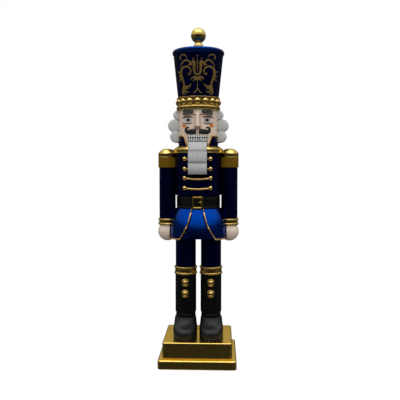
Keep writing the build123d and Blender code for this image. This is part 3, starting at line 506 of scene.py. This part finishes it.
class Shape:
    """Points and faces of one piece, gathered from simple runs of rings."""

    def __init__(self):
        self.points = []
        self.faces = []
        self.paints = []

    def ring_run(self, rings, paint=0, closed=False):
        """Joins rings of equal length into a skin, with its ends closed unless it loops."""
        start = len(self.points)
        size = len(rings[0])
        for ring in rings:
            self.points.extend(ring)
        count = len(rings)
        for i in range(count if closed else count - 1):
            a = start + i * size
            b = start + ((i + 1) % count) * size
            for k in range(size):
                n = (k + 1) % size
                self.face((a + k, a + n, b + n, b + k), paint)
        if not closed:
            for first in (start, start + (count - 1) * size):
                self.cap(range(first, first + size), paint)

    def cap(self, loop, paint):
        """Closes a loop of points with a fan from its middle."""
        loop = list(loop)
        middle = sum((Vector(self.points[i]) for i in loop), Vector()) / len(loop)
        self.points.append(tuple(middle))
        hub = len(self.points) - 1
        for k, corner in enumerate(loop):
            self.face((corner, loop[(k + 1) % len(loop)], hub), paint)

    def face(self, corners, paint):
        self.faces.append(corners)
        self.paints.append(paint)

    def tube(self, path, radii, sides=10):
        """Round bar along a path of 3-D points, with a radius for each of them."""
        path = [Vector(p) for p in path]
        rings = []
        side = None
        for i, point in enumerate(path):
            before = path[max(i - 1, 0)]
            after = path[min(i + 1, len(path) - 1)]
            ahead = (after - before).normalized()
            if side is None:
                side = ahead.cross(Vector((0, 0, 1)))
                side = side if side.length > 0.1 else ahead.cross(Vector((0, 1, 0)))
            side = (side - ahead * side.dot(ahead)).normalized()
            up = ahead.cross(side)
            rings.append([tuple(point + (side * cos(a) + up * sin(a)) * radii[i]) for a in full_turn(sides)])
        self.ring_run(rings)

    def stroke(self, path, widths, place, proud, spans=5):
        """Raised brush stroke with a round top, along a 2-D path on a surface."""
        sunk = 0.25
        line = smooth([(*p, w) for p, w in zip(path, widths)], spans)
        rings = []
        widest = max(widths)
        for i, (x, z, width) in enumerate(line):
            x0, z0, _ = line[max(i - 1, 0)]
            x1, z1, _ = line[min(i + 1, len(line) - 1)]
            length = sqrt((x1 - x0) ** 2 + (z1 - z0) ** 2) or 1.0
            nx, nz = -(z1 - z0) / length, (x1 - x0) / length
            high = proud * min(1.0, (width / widest) ** 0.6)
            ring = [place(x + nx * width / 2, z + nz * width / 2, -sunk)]
            for step in range(7):
                u = cos(pi * step / 6)
                lift = high * sqrt(max(0, 1 - u * u))
                ring.append(place(x + nx * u * width / 2, z + nz * u * width / 2, lift))
            ring.append(place(x - nx * width / 2, z - nz * width / 2, -sunk))
            rings.append(ring)
        self.ring_run(rings)

    def disc(self, x, z, rx, rz, place, low, high, power=2.0, rings=5, sides=24, crown=2.0):
        """Domed button with an elliptical or rounded-square outline, from low to high above a surface."""
        rows = []
        for level in range(rings + 1):
            share = 1 - (level / rings) ** 1.6 * 0.96
            lift = low + (high - low) * (1 - share**crown) ** 0.5 if level else low
            row = []
            for a in full_turn(sides):
                c, s = cos(a), sin(a)
                reach = (abs(c) ** power + abs(s) ** power) ** (-1 / power)
                row.append(place(x + rx * share * reach * c, z + rz * share * reach * s, lift))
            rows.append(row)
        self.ring_run(rows)

    def plate(self, outline, place, low, high, paint=0, step=1.2):
        """Flat-topped plate with any outline, cut into strips so that it follows a curved surface."""
        bm = bmesh.new()
        bm.faces.new([bm.verts.new((x, z, 0)) for x, z in outline])
        bmesh.ops.triangulate(bm, faces=bm.faces)
        lowest = min(x for x, _ in outline)
        highest = max(x for x, _ in outline)
        for cut in range(1, int((highest - lowest) / step) + 1):
            whole = bm.verts[:] + bm.edges[:] + bm.faces[:]
            bmesh.ops.bisect_plane(bm, geom=whole, plane_co=(lowest + cut * step, 0, 0), plane_no=(1, 0, 0))
        bm.verts.index_update()
        flat = [v.co.copy() for v in bm.verts]
        start = len(self.points)
        count = len(flat)
        self.points.extend(place(p.x, p.y, high) for p in flat)
        self.points.extend(place(p.x, p.y, low) for p in flat)
        for face in bm.faces:
            corners = [start + v.index for v in face.verts]
            self.face(tuple(corners), paint)
            self.face(tuple(c + count for c in reversed(corners)), paint)
        for edge in bm.edges:
            if edge.is_boundary:
                a, b = (start + v.index for v in edge.verts)
                self.face((a, b, b + count, a + count), paint)
        bm.free()

    def piece(self, name, finishes, slot, body=FIGURE, stands_for=(), crease=38):
        """Makes the mesh object, welded and smooth up to the crease angle, parents it to its body's empty and
        hides the nodes it stands for.
        """
        mesh = bpy.data.meshes.new(name)
        mesh.from_pydata([Vector(p) * MM for p in self.points], [], self.faces)
        mesh.polygons.foreach_set("material_index", self.paints)
        bm = bmesh.new()
        bm.from_mesh(mesh)
        bmesh.ops.remove_doubles(bm, verts=bm.verts, dist=0.000002)
        bmesh.ops.dissolve_degenerate(bm, dist=0.000001, edges=bm.edges)
        bmesh.ops.recalc_face_normals(bm, faces=bm.faces)
        bm.to_mesh(mesh)
        bm.free()
        mesh.polygons.foreach_set("use_smooth", [True] * len(mesh.polygons))
        mesh.set_sharp_from_angle(angle=radians(crease))
        for finish in finishes:
            mesh.materials.append(finish)
        obj = add_object(name, mesh)
        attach(obj, body)
        if stands_for:
            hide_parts(*stands_for)


on_head = round_place(lambda z: head_radius)


# -------------------- painted face
def mirrored(path, side):
    """The path on the figure's left for side 1, or its mirror image for side -1."""
    return [(side * x, z) for x, z in path]


def make_eyes():
    """Almond whites with a domed iris, a pupil and a small glint."""
    eye_x = 10.3
    iris_radius, pupil_radius, glint_radius = 3.05, 1.6, 0.32
    white_edge = smooth(((6.0, 275.2), (6.8, 277.2), (9.6, 278.5), (13.2, 278.2), (15.0, 276.4),
                         (13.9, 274.0), (11.4, 272.5), (8.3, 272.6), (6.5, 273.8), (6.0, 275.2)), 4)[:-1]
    whites, irises, pupils, glints = Shape(), Shape(), Shape(), Shape()
    for side in SIDES:
        whites.plate(mirrored(white_edge, side), on_head, -0.3, 0.32)
        x = side * eye_x
        irises.disc(x, 275.6, iris_radius, iris_radius, on_head, -0.2, 0.62)
        pupils.disc(x, 275.7, pupil_radius, pupil_radius, on_head, 0.3, 0.82)
        glints.disc(x - 0.8, 276.7, glint_radius, glint_radius, on_head, 0.5, 0.98, sides=12, rings=3)
    whites.piece("eye_whites", [EYE_WHITE], slot="teeth_paint")
    irises.piece("irises", [IRIS], slot="dark_paint")
    pupils.piece("pupils", [PUPIL], slot="black_paint")
    glints.piece("eye_glints", [EYE_WHITE], slot="teeth_paint")


def make_lashes_and_lids():
    """Lash lines, the brown crease over each eye and painted shade beside the nose."""
    lashes, lids, shades = Shape(), Shape(), Shape()
    for side in SIDES:
        upper = ((5.2, 278.2), (7.4, 278.9), (10.2, 279.0), (13.4, 278.8), (16.2, 277.8))
        lashes.stroke(mirrored(upper, side), (0.9, 1.6, 1.9, 1.6, 0.6), on_head, 0.75)
        lower = ((5.6, 272.9), (8.0, 271.7), (10.8, 271.3), (14.0, 271.9), (17.2, 273.2))
        lashes.stroke(mirrored(lower, side), (0.5, 0.9, 0.95, 0.85, 0.4), on_head, 0.5)
        flick = ((10.5, 272.4), (13.2, 271.7), (16.3, 272.1))
        lashes.stroke(mirrored(flick, side), (0.4, 0.75, 0.4), on_head, 0.55)
        crease = ((2.0, 281.0), (4.0, 281.4), (7.0, 281.3), (10.8, 280.8), (14.8, 279.7), (19.0, 277.8))
        lids.stroke(mirrored(crease, side), (1.6, 2.2, 1.9, 1.5, 1.2, 0.4), on_head, 0.4)
        # Painted shade down each side of the nose.
        nose_shade_path = ((2.5, 281.0), (2.7, 277.6), (2.9, 274.2), (3.5, 270.6), (4.4, 267.4))
        shades.stroke(mirrored(nose_shade_path, side), (2.4, 2.6, 2.2, 1.8, 1.2), on_head, 0.2)
    lashes.piece("eye_lashes", [LASH], slot="black_paint")
    lids.piece("lid_creases", [LID], slot="dark_paint")
    shades.piece("nose_side_shading", [NOSE_SIDE_SHADE], slot="skin_paint")


def make_cheeks():
    """A flat orange oval on each cheek."""
    x, z = 15.3, 269.5
    cheeks = Shape()
    for side in SIDES:
        cheeks.disc(side * x, z, 2.7, 2.1, on_head, -0.2, 0.3, sides=28)
    cheeks.piece("cheeks", [CHEEK], slot="skin_paint")


def make_nose():
    """Carved wedge: narrow at the brow, broad and proud at the tip, undercut below."""
    shaded_below = 268.3
    rows = smooth(((285.6, 1.3, 0.2), (282.4, 1.8, 1.1), (278.4, 1.8, 2.1), (274.4, 1.9, 3.0),
                   (271.4, 2.2, 3.6), (269.6, 2.6, 3.9), (268.4, 2.9, 3.8), (267.0, 3.7, 2.6),
                   (265.4, 4.4, 1.0), (264.7, 4.2, 0.3)), 4)
    nose = Shape()
    rings = []
    for height, half, proud in rows:
        ring = []
        for k in range(15):
            a = pi * k / 14
            c = cos(a)
            x = half * (abs(c) ** 0.75) * (1 if c > 0 else -1)
            ring.append(on_head(x, height, proud * sin(a) ** 0.6 if 0 < k < 14 else 0))
        ring.append(on_head(-half, height, -1.2))
        ring.append(on_head(half, height, -1.2))
        rings.append(ring)
    nose.ring_run(rings)
    for number, corners in enumerate(nose.faces):
        if sum(nose.points[c][2] for c in corners) / len(corners) < shaded_below:
            nose.paints[number] = 1
    nose.piece("nose_carved", [SKIN, NOSE_SHADE], stands_for=("nose",), slot="skin_paint", crease=60)


def make_mustache():
    """Two swept halves whose ends turn up, with fine carved ridges along each."""
    strands, spacing = 7, 0.62
    mustache = Shape()
    for side in SIDES:
        half = ((1.7, 262.7), (2.2, 262.7), (4.0, 262.8), (7.0, 262.7), (9.8, 262.3), (11.9, 262.9),
                (13.0, 264.7), (12.9, 266.3), (11.8, 267.2), (10.4, 267.1), (9.6, 266.7))
        widths = (5.0, 5.2, 5.3, 5.4, 4.9, 4.2, 3.0, 2.3, 2.0, 1.8, 1.2)
        mustache.stroke(mirrored(half, side), widths, on_head, 2.3, spans=7)
        for strand in range(strands):
            rise = (strand - strands // 2) * spacing
            ridge = ((1.4, 262.5 + rise), (4.4, 262.4 + rise * 1.05), (7.6, 262.1 + rise),
                     (10.6, 262.7 + rise * 0.7), (12.3, 264.4 + rise * 0.4))
            crown = 2.1 * sqrt(max(0.05, 1 - (rise / 2.55) ** 2))
            top = round_place(lambda z, lift=crown: head_radius + lift)
            mustache.stroke(mirrored(ridge, side), (0.3, 0.55, 0.55, 0.5, 0.2), top, 0.22, spans=4)
    mustache.piece("mustache_carved", [MUSTACHE], stands_for=("mustache",), slot="dark_hair")


def make_eyebrows():
    """Carved brows, each tufted with short upright hairs."""
    tufts = 26
    brows = Shape()
    for side in SIDES:
        edge = smooth(((4.3, 285.4), (4.7, 283.8), (6.2, 282.8), (9.0, 282.2), (12.6, 281.4), (15.4, 280.9),
                       (16.3, 281.8), (16.2, 284.2), (15.4, 286.4),
                       (10.0, 286.9), (5.6, 286.6), (4.3, 285.4)), 3)[:-1]
        brows.plate(mirrored(edge, side), on_head, -0.3, 0.75)
        top = round_place(lambda z: head_radius + 0.62)
        for strand in range(tufts):
            t = strand / (tufts - 1)
            jitter = field.noise((strand * 1.7, side, 0.3))
            x = 4.8 + 10.8 * t
            low = 283.4 - 1.9 * t + 0.4 * jitter
            hair = ((x, low), (x + 0.3 + 0.9 * t, low + 2.2), (x + 0.5 + 1.0 * t, 286.4 + 0.4 * jitter))
            hair = [(min(px, 16.3), pz) for px, pz in hair]
            brows.stroke(mirrored(hair, side), (0.3, 0.6, 0.35), top, 0.42, spans=3)
    brows.piece("eyebrows_tufted", [DARK_HAIR], stands_for=("eyebrows",), slot="dark_hair")


def make_teeth():
    """Two rows of eight separate teeth on a dark plate of painted shadow; the lower row, painted darker as
    shade, swings with the jaw.
    """
    count = 8
    pitch = 2 * beard_half / count
    front = -head_radius
    for name, node, body, paint, low, high in (
        ("upper_tooth_row", "upper_teeth", FIGURE, ENAMEL, 255.8, mouth_high),
        # The lower row takes the darker enamel, painted shade under the upper row.
        ("lower_tooth_row", "lower_teeth", JAW, ENAMEL_PAINTED_SHADE, mouth_low + 0.1, high_corner("lower_teeth").z),
    ):
        row = Shape()
        place = flat_place(front)
        # The dark plate is painted shadow, showing in the gaps between the teeth.
        shadow_outline = ((-beard_half, low), (beard_half, low), (beard_half, high), (-beard_half, high))
        row.plate(shadow_outline, place, 0.05, 0.55, paint=1, step=2.6)
        for number in range(count):
            x = (number - (count - 1) / 2) * pitch
            half = (high - low) / 2
            row.disc(x, low + half - 0.12, pitch / 2 - 0.33, half - 0.16, place, 0.5, 1.55,
                     power=5, sides=28, crown=5)
        row.piece(name, [paint, TEETH_GAP_SHADOW], body=body, stands_for=(node,), slot="teeth_paint")


make_eyes()
make_lashes_and_lids()
make_cheeks()
make_nose()
make_mustache()
make_eyebrows()
make_teeth()


# -------------------- beard and hair
def make_beard():
    """Carved slab in three tiers, each combed in upright strands and undercut where the next one starts."""
    tiers = (
        ((251.2, 23.5), (249.6, 24.9), (247.0, 26.6), (244.4, 28.0), (242.4, 28.75), (241.6, 28.8)),
        ((241.35, 28.5), (240.4, 28.6), (237.6, 29.4), (233.6, 30.3), (230.2, 30.4), (228.6, 29.9)),
        ((228.2, 28.7), (227.2, 29.0), (224.4, 30.2), (220.6, 30.7), (217.2, 29.9), (215.3, 28.4)),
    )
    columns = 81
    beard = Shape()
    rows = []
    for number, tier in enumerate(tiers):
        for z, depth in smooth(tier, 4):
            rows.append((z, depth, number))
    rows.append((beard_tip, 26.8, 2))
    grid = []
    for z, depth, number in rows:
        line = []
        for k in range(columns):
            u = 2 * k / (columns - 1) - 1
            strand = 0.20 * abs(sin(pi * (10.5 * u + 0.35 * sin(3.1 * u + number) + 0.03 * (z - 230))))
            clump = 0.35 * (0.5 + 0.5 * cos(pi * 4 * u + number * 1.3))
            rounded = 0.9 * abs(u) ** 6
            ragged = 0.35 * field.noise((u * 9, number * 3.1, 0.5)) + 0.25 if z <= beard_tip + 0.01 else 0.0
            line.append((u * beard_half, -(depth + strand - clump * 0.6 - rounded), z + ragged))
        grid.append(line)
    rings = []
    for line in grid:
        back = [(p[0], -head_radius, p[2]) for p in (line[-1], line[0])]
        rings.append(line + back)
    beard.ring_run(rings)
    beard.piece("beard_carved", [BEARD], body=JAW, stands_for=("beard",), slot="beard_white", crease=50)


def hair_sweep(path_radius, height, roll_radius):
    """One roll of hair swept round the back of the head, grooved along its strands, with spiral ends."""
    start = radians(-12.0)
    span = pi - 2 * start
    sides, steps = 72, 60
    roll = Shape()

    def point(angle, across, up):
        return ((path_radius + across) * cos(angle), (path_radius + across) * sin(angle), height + up)

    rings = []
    for step in range(steps + 1):
        angle = start + span * step / steps
        ring = []
        for a in full_turn(sides):
            wave = abs(sin(6 * (a + 1.6 * angle))) ** 0.6
            r = roll_radius * (0.945 + 0.05 * wave + 0.012 * field.noise((a * 2, angle * 3, height)))
            ring.append(point(angle, r * cos(a), r * sin(a)))
        rings.append(ring)
    ends = ((rings[0], start, -1), (rings[-1], start + span, 1))
    for base_ring, edge, outward in ends:
        middle = Vector(point(edge, 0, 0))
        ahead = Vector((-sin(edge), cos(edge), 0)) * outward
        curl = []
        levels = 16
        for level in range(1, levels + 1):
            share = 1 - level / (levels + 0.6)
            ring = []
            for corner, a in zip(base_ring, full_turn(sides)):
                turn = outward * a / (2 * pi)
                groove = abs(sin(pi * (3.2 * share + turn))) ** 0.35
                dome = 1.5 * sqrt(max(0.0, 1 - share**2))
                bulge = dome + 0.55 * (groove - 1) * min(1, 3 * (1 - share) + 0.1)
                flat = middle + (Vector(corner) - middle) * share
                ring.append(tuple(flat + ahead * bulge))
            curl.append(ring)
        rings = list(reversed(curl)) + rings if outward < 0 else rings + curl
    roll.ring_run(rings)
    return roll


def make_hair():
    """Three rolls, one above the other, each as (node, path radius, height, roll radius)."""
    for name, path_radius, height, roll_radius in (
        ("hair_upper_roll", 23.3, 282.6, 5.6),
        ("hair_middle_roll", 27.7, 270.6, 7.2),
        ("hair_lower_roll", 25.8, 258.1, 6.8),
    ):
        roll = hair_sweep(path_radius, height, roll_radius)
        roll.piece(name.replace("roll", "curl"), [HAIR], stands_for=(name,), slot="hair_grey", crease=70)


make_beard()
make_hair()


# -------------------- hat scrollwork
def make_scrollwork():
    """Painted scrolls on the hat's front: a tulip over small leaves, between curling stems."""
    foot, rim = radius_at("hat_body", hat_low), radius_at("hat_body", hat_high)
    on_hat = round_place(lambda z: foot + (z - hat_low) * (rim - foot) / (hat_high - hat_low))
    scrolls = Shape()
    weight = 0.9
    proud = 0.26
    dot_radius = 0.85
    paired = (
        (((11.4, 342.6), (13.6, 345.6), (16.5, 346.6), (19.0, 345.2), (19.3, 342.6), (17.8, 341.6)),
         (0.6, 1.3, 1.7, 1.6, 1.3, 0.9)),
        (((19.3, 333.9), (17.4, 337.2), (14.6, 339.6), (11.4, 340.2),
          (8.9, 338.2), (8.5, 335.8), (10.2, 334.9)),
         (0.6, 1.5, 2.1, 2.0, 1.7, 1.4, 1.2)),
        (((10.4, 326.6), (9.4, 324.7), (7.6, 326.2), (7.4, 329.6), (10.0, 332.6),
          (14.4, 333.4), (17.9, 331.0), (18.7, 326.4), (17.3, 321.2), (15.0, 315.6)),
         (1.2, 1.5, 1.5, 1.6, 1.9, 2.2, 2.8, 3.3, 2.9, 1.8)),
        (((17.9, 328.9), (20.4, 328.3), (22.6, 329.6)), (2.6, 1.7, 0.4)),
        (((18.2, 325.6), (20.2, 323.8), (21.4, 323.6)), (2.4, 1.5, 0.4)),
        (((17.6, 322.0), (19.6, 320.0), (20.6, 318.4)), (2.2, 1.5, 0.4)),
        (((6.6, 315.0), (9.4, 312.2), (12.4, 311.6), (15.0, 312.8)), (0.5, 2.2, 2.8, 2.4)),
        (((9.6, 309.9), (12.2, 309.4), (14.6, 310.6)), (0.5, 1.6, 2.4)),
        (((15.0, 315.4), (15.2, 311.8), (16.2, 308.0), (16.0, 304.9), (13.2, 303.8)),
         (1.8, 3.0, 2.4, 2.0, 0.7)),
        (((9.0, 307.0), (11.8, 305.9), (14.4, 307.4), (15.6, 309.6)), (0.5, 1.5, 1.9, 1.6)),
        (((7.8, 333.9), (6.9, 336.6), (4.9, 338.3), (3.6, 335.4), (3.7, 329.4), (2.8, 325.8), (0.0, 324.3)),
         (0.8, 1.9, 2.7, 3.0, 2.8, 2.5, 2.2)),
        (((5.6, 334.0), (7.2, 335.3), (8.0, 336.9)), (1.3, 1.0, 0.4)),
        (((0.3, 320.9), (3.0, 321.8), (5.6, 321.1), (7.2, 319.2)), (2.3, 2.5, 2.0, 0.5)),
        (((0.3, 319.4), (2.8, 319.3), (4.9, 316.9)), (1.9, 1.9, 0.5)),
        (((0.0, 310.0), (1.3, 307.6), (3.6, 305.2), (4.9, 305.0)), (1.1, 1.4, 1.2, 0.4)),
        (((1.4, 336.6), (3.2, 339.0), (4.4, 340.9)), (0.5, 0.6, 0.4)),
    )
    middle = (
        (((0.0, 326.5), (0.0, 332.0), (0.0, 338.5), (0.0, 343.4)), (0.5, 1.0, 0.9, 0.4)),
        (((0.0, 321.8), (0.0, 319.0), (0.0, 316.7)), (1.6, 1.5, 0.5)),
        (((0.0, 316.0), (0.0, 312.6), (0.0, 309.6)), (0.6, 1.1, 1.3)),
    )
    strokes = [(mirrored(path, side), widths) for path, widths in paired for side in SIDES]
    for path, widths in (*strokes, *middle):
        scrolls.stroke(path, [w * weight for w in widths], on_hat, proud)
    for x, z in ((0.0, 344.4), (4.8, 341.6), (-4.8, 341.6)):
        scrolls.disc(x, z, dot_radius, dot_radius, on_hat, -0.2, 0.5, sides=12, rings=3)
    scrolls.piece("hat_scrollwork", [GOLD_SCROLL], slot="gold_paint")


# -------------------- uniform trim
def make_fringe(side_name, side):
    """A curtain of twisted cords hanging from the epaulette, outside the sleeve."""
    node = f"epaulette_fringe_{side_name}"
    low, high = low_corner(node), high_corner(node)
    radius = (high.y - low.y) / 2
    centre_x = side * (max(abs(low.x), abs(high.x)) - radius)
    cord = 0.62
    walk = radius - cord
    count = int(2 * pi * walk / (cord * 1.84))
    fringe = Shape()
    for number in range(count):
        a = 2 * pi * (number + 0.5) / count
        x, y = centre_x + walk * cos(a), walk * sin(a)
        if sqrt(x**2 + y**2) < torso_radius + 0.3:
            continue
        drop = 0.35 * field.noise((number * 0.9, side, 2.0))
        rings = []
        steps = 22
        for step in range(steps + 1):
            z = high.z - (high.z - low.z + drop * (step == steps)) * step / steps
            swell = 0.8 if step == steps else 1.0
            ring = []
            for t in full_turn(9):
                r = cord * swell * (1 + 0.13 * cos(3 * t + 2.6 * (high.z - z)))
                ring.append((x + r * cos(t), y + r * sin(t), max(z, low.z)))
            rings.append(ring)
        fringe.ring_run(rings)
    sleeve = []
    inner, outer, foot = walk - 0.75, walk + 0.1, low.z + 0.6
    corners = ((inner, foot), (outer, foot), (outer, high.z), (inner, high.z))
    for a in full_turn(48):
        sleeve.append([(centre_x + r * cos(a), r * sin(a), z) for r, z in corners])
    fringe.ring_run(sleeve, closed=True)
    fringe.piece(f"bullion_fringe_{side_name}", [FRINGE], stands_for=(node,), slot="fringe_thread", crease=70)


def make_braid():
    """Round cords across the chest between the buttons, and stubs beside the beard."""
    low, high = low_corner("coat_buttons"), high_corner("coat_buttons")
    button_radius = 2.65
    top, bottom = high.z - button_radius, low.z + button_radius
    outer = high.x - button_radius
    on_torso = round_place(lambda z: torso_radius)
    across = [step / 16 - 1 for step in range(33)]
    dip = 1.15
    braid = Shape()
    for height in (bottom + 11.0, bottom):
        path = []
        for share in across:
            x = outer * share * 0.97
            path.append(on_torso(x, height - dip * (1 - (x / outer) ** 2), 0.62))
        braid.tube(path, [1.12 + 0.25 * abs(share) ** 8 for share in across], sides=12)
    for height in (top, top - 11.1):
        for side in SIDES:
            path = [on_torso(side * x, height, 0.5) for x in (10.6, 11.2, 12.0, 12.9, 13.8)]
            braid.tube(path, [0.7, 0.85, 0.9, 1.0, 1.3], sides=12)
    braid.piece("coat_braid_cords", [GOLD_CORD], stands_for=("coat_braid",), slot="gold_paint", crease=60)


def make_buckle():
    """Cast frame with rounded bars, and a hooked prong."""
    on_belt = round_place(lambda z: belt_radius)
    low, high = low_corner("belt_buckle"), high_corner("belt_buckle")
    middle = (low.z + high.z) / 2
    bar = 2.1
    half_w, half_h = high.x - bar / 2, (high.z - low.z) / 2 - bar / 2
    corner = 0.55
    loop = []
    for quarter, (sx, sz) in enumerate(((1, 1), (-1, 1), (-1, -1), (1, -1))):
        for step in range(6):
            a = pi / 2 * (quarter + step / 5)
            x = sx * (half_w - corner) + corner * cos(a)
            loop.append((x, middle + sz * (half_h - corner) + corner * sin(a)))
    dense = []
    for i, (x, z) in enumerate(loop):
        nx, nz = loop[(i + 1) % len(loop)]
        parts = max(1, int(sqrt((nx - x) ** 2 + (nz - z) ** 2) / 0.9))
        dense.extend((x + (nx - x) * k / parts, z + (nz - z) * k / parts) for k in range(parts))
    rings = []
    section = ((-1, -0.1), (-1, 0.75), (-0.8, 1.15), (-0.35, 1.45),
               (0.3, 1.5), (0.75, 1.2), (1, 0.8), (1, -0.1))
    for i, (x, z) in enumerate(dense):
        (ax, az), (bx, bz) = dense[i - 1], dense[(i + 1) % len(dense)]
        length = sqrt((bx - ax) ** 2 + (bz - az) ** 2)
        ox, oz = (bz - az) / length, -(bx - ax) / length
        rings.append([on_belt(x + ox * u * bar / 2, z + oz * u * bar / 2, h) for u, h in section])
    frame_shape = Shape()
    frame_shape.ring_run(rings, closed=True)
    frame_shape.piece("buckle_frame", [GOLD_BUCKLE], stands_for=("belt_buckle",), slot="gold_metal",
                      crease=50)
    prong = Shape()
    z = middle + 0.2
    hook = ((4.3, z - 0.2), (3.2, z + 0.1), (2.0, z + 0.2), (0.9, z))
    prong.stroke(hook, (4.2, 2.4, 1.5, 0.7), on_belt, 1.3)
    barb = ((3.4, z + 1.2), (2.4, z + 0.9), (1.4, z + 0.3))
    prong.stroke(barb, (0.9, 0.9, 0.4), on_belt, 1.5)
    prong.piece("buckle_hook", [GOLD_CORD], stands_for=("buckle_prong",), slot="gold_metal")


def make_belt_stitches():
    """Small stitches along both edges of the belt, left out behind the buckle."""
    stitches = Shape()
    inset = 1.5
    pitch = 2.1
    length = 1.25
    behind_buckle = 6.0
    section = ((0.0, 0.16), (0.11, 0.0), (0.0, -0.16), (-0.12, 0.0))
    count = int(2 * pi * belt_radius / pitch)
    for z in (belt_low + inset, belt_high - inset):
        for a in full_turn(count):
            if abs(sin(a) * belt_radius) < behind_buckle and cos(a) > 0:
                continue
            rings = []
            for step in range(5):
                t = a + (step / 4 - 0.5) * length / belt_radius
                r = belt_radius + 0.16 * sin(pi * step / 4) - 0.02
                rings.append([((r + p) * sin(t), -(r + p) * cos(t), z + q) for p, q in section])
            stitches.ring_run(rings)
    stitches.piece("belt_stitches", [THREAD], slot="belt_leather")


def outer_profile(node):
    """Radius of a turned node's outer skin at any height, from its own points."""
    widest = {}
    for vertex in nodes[node].data.vertices:
        p = vertex.co / MM
        key = round(p.z * 2) / 2
        widest[key] = max(widest.get(key, 0.0), sqrt(p.x**2 + p.y**2))
    heights = sorted(widest)

    def radius(z):
        z = max(heights[0], min(heights[-1], z))
        for low, high in zip(heights, heights[1:]):
            if low <= z <= high:
                share = (z - low) / (high - low)
                return widest[low] * (1 - share) + widest[high] * share
        return widest[heights[-1]]

    return radius


def cord_path(edge, radius_of, back_radius, height, steps):
    """Path down one front edge, round the back at one height, and up the mirrored edge."""
    left = [(x, -sqrt(max(0, radius_of(z) ** 2 - x**2)), z) for x, z in edge]
    start = atan2(left[-1][1], left[-1][0])
    back = []
    for step in range(1, steps):
        a = start + (pi - 2 * start) * step / steps
        back.append((back_radius * cos(a), back_radius * sin(a), height))
    right = [(-x, y, z) for x, y, z in reversed(left)]
    return left + back + right


def make_cord(name, node, path, cord_radius):
    """One gold cord along a path, in place of the plain piping."""
    cord = Shape()
    cord.tube(path, [cord_radius] * len(path))
    cord.piece(name, [GOLD_CORD], stands_for=(node,), slot="gold_paint", crease=60)


def make_skirt_piping():
    """One cord down each side of the coat's opening and round its hem."""
    bell = outer_profile("coat_skirt")
    hem = low_corner("skirt_piping").z + 0.85
    waist = high_corner("coat_skirt").z
    edge = smooth(((6.5, waist), (9.6, 163.5), (13.0, 155.0), (19.2, 144.4), (20.4, hem)), 8)
    make_cord("skirt_cord", "skirt_piping", cord_path(edge, bell, bell(hem + 0.5), hem, 90), 0.82)


def make_collar_piping():
    """One cord up the front edges of the collar and round its top."""
    radius = high_corner("collar").x
    low, high = low_corner("collar").z + 0.4, high_corner("collar_piping").z - 0.75
    edge = [(12.0 + 3.5 * t, low + (high - low) * t) for t in [k / 10 for k in range(11)]]
    make_cord("collar_cord", "collar_piping", cord_path(edge, lambda z: radius, radius, high, 80), 0.85)


def make_boot_buttons():
    """Low domes with a turned rim, seated on the fronts of the boots."""
    low = low_corner("boot_buttons").z
    high = high_corner("boot_buttons").z
    front = -low_corner("boot_left").y
    centre = middle_x("boot_left")
    radius = half_width("boot_buttons") - centre
    profile = ((4.2, -1.8), (4.5, -1.2), (4.55, 0.2), (4.45, 0.8), (4.1, 1.15), (3.75, 1.05),
               (3.5, 0.85), (3.25, 1.1), (2.7, 1.95), (1.9, 2.6), (1.0, 2.95), (0.35, 3.05))
    buttons = Shape()
    for side in SIDES:
        for height in (low + radius, high - radius):
            rings = []
            for r, rise in smooth(profile, 2):
                ring = []
                for a in full_turn(40):
                    ring.append((side * centre + r * cos(a), -(front + rise), height + r * sin(a)))
                rings.append(ring)
            buttons.ring_run(rings)
    buttons.piece("boot_buttons_turned", [GOLD_BRIGHT], stands_for=("boot_buttons",), slot="gold_paint",
                  crease=60)


def make_shoe(side_name):
    """Round-toed shoe on a thin sole, from level outlines as (height, half width, toe, heel)."""
    node = f"shoe_{side_name}"
    centre = middle_x(node)
    sole = ((29.6, 13.0, -27.4, 11.6), (30.2, 13.6, -28.2, 12.1),
            (31.2, 13.6, -28.2, 12.1), (31.6, 13.1, -27.5, 11.5))
    toe_cap = ((32.2, 13.4, -27.9, 11.7), (34.6, 13.8, -28.35, 12.0),
               (37.4, 13.8, -27.9, 12.1), (39.6, 13.6, -26.4, 12.1))
    instep = ((41.2, 13.4, -23.9, 12.1), (42.4, 13.2, -20.9, 12.1),
              (43.8, 12.9, -18.0, 12.0), (46.0, 12.7, -15.2, 12.0))
    ankle = ((48.4, 12.5, -13.2, 12.0), (49.8, 12.3, -12.5, 12.0),
             (50.6, 12.0, -12.1, 11.9), (50.8, 11.5, -11.6, 11.5))
    levels = smooth(sole + toe_cap + instep + ankle, 3)
    rings = []
    for z, half, toe, heel in levels:
        ring = []
        power = 2.0 + 0.75 * min(1.0, max(0.0, (-toe - 12.5) / 12))
        for a in full_turn(56):
            c, s = cos(a), sin(a)
            grip = power if s < 0 else 2.2
            reach = (abs(c) ** grip + abs(s) ** grip) ** (-1 / grip)
            ring.append((centre + half * reach * c, (heel if s > 0 else -toe) * reach * s, z))
        rings.append(ring)
    shoe = Shape()
    shoe.ring_run(rings)
    shoe.piece(f"round_{node}", [SHOE_BLACK], stands_for=(node,), slot="black_paint", crease=50)


make_scrollwork()
make_braid()
make_buckle()
make_belt_stitches()
make_skirt_piping()
make_collar_piping()
for side_name, side in (("left", 1), ("right", -1)):
    make_fringe(side_name, side)
    make_shoe(side_name)
make_boot_buttons()
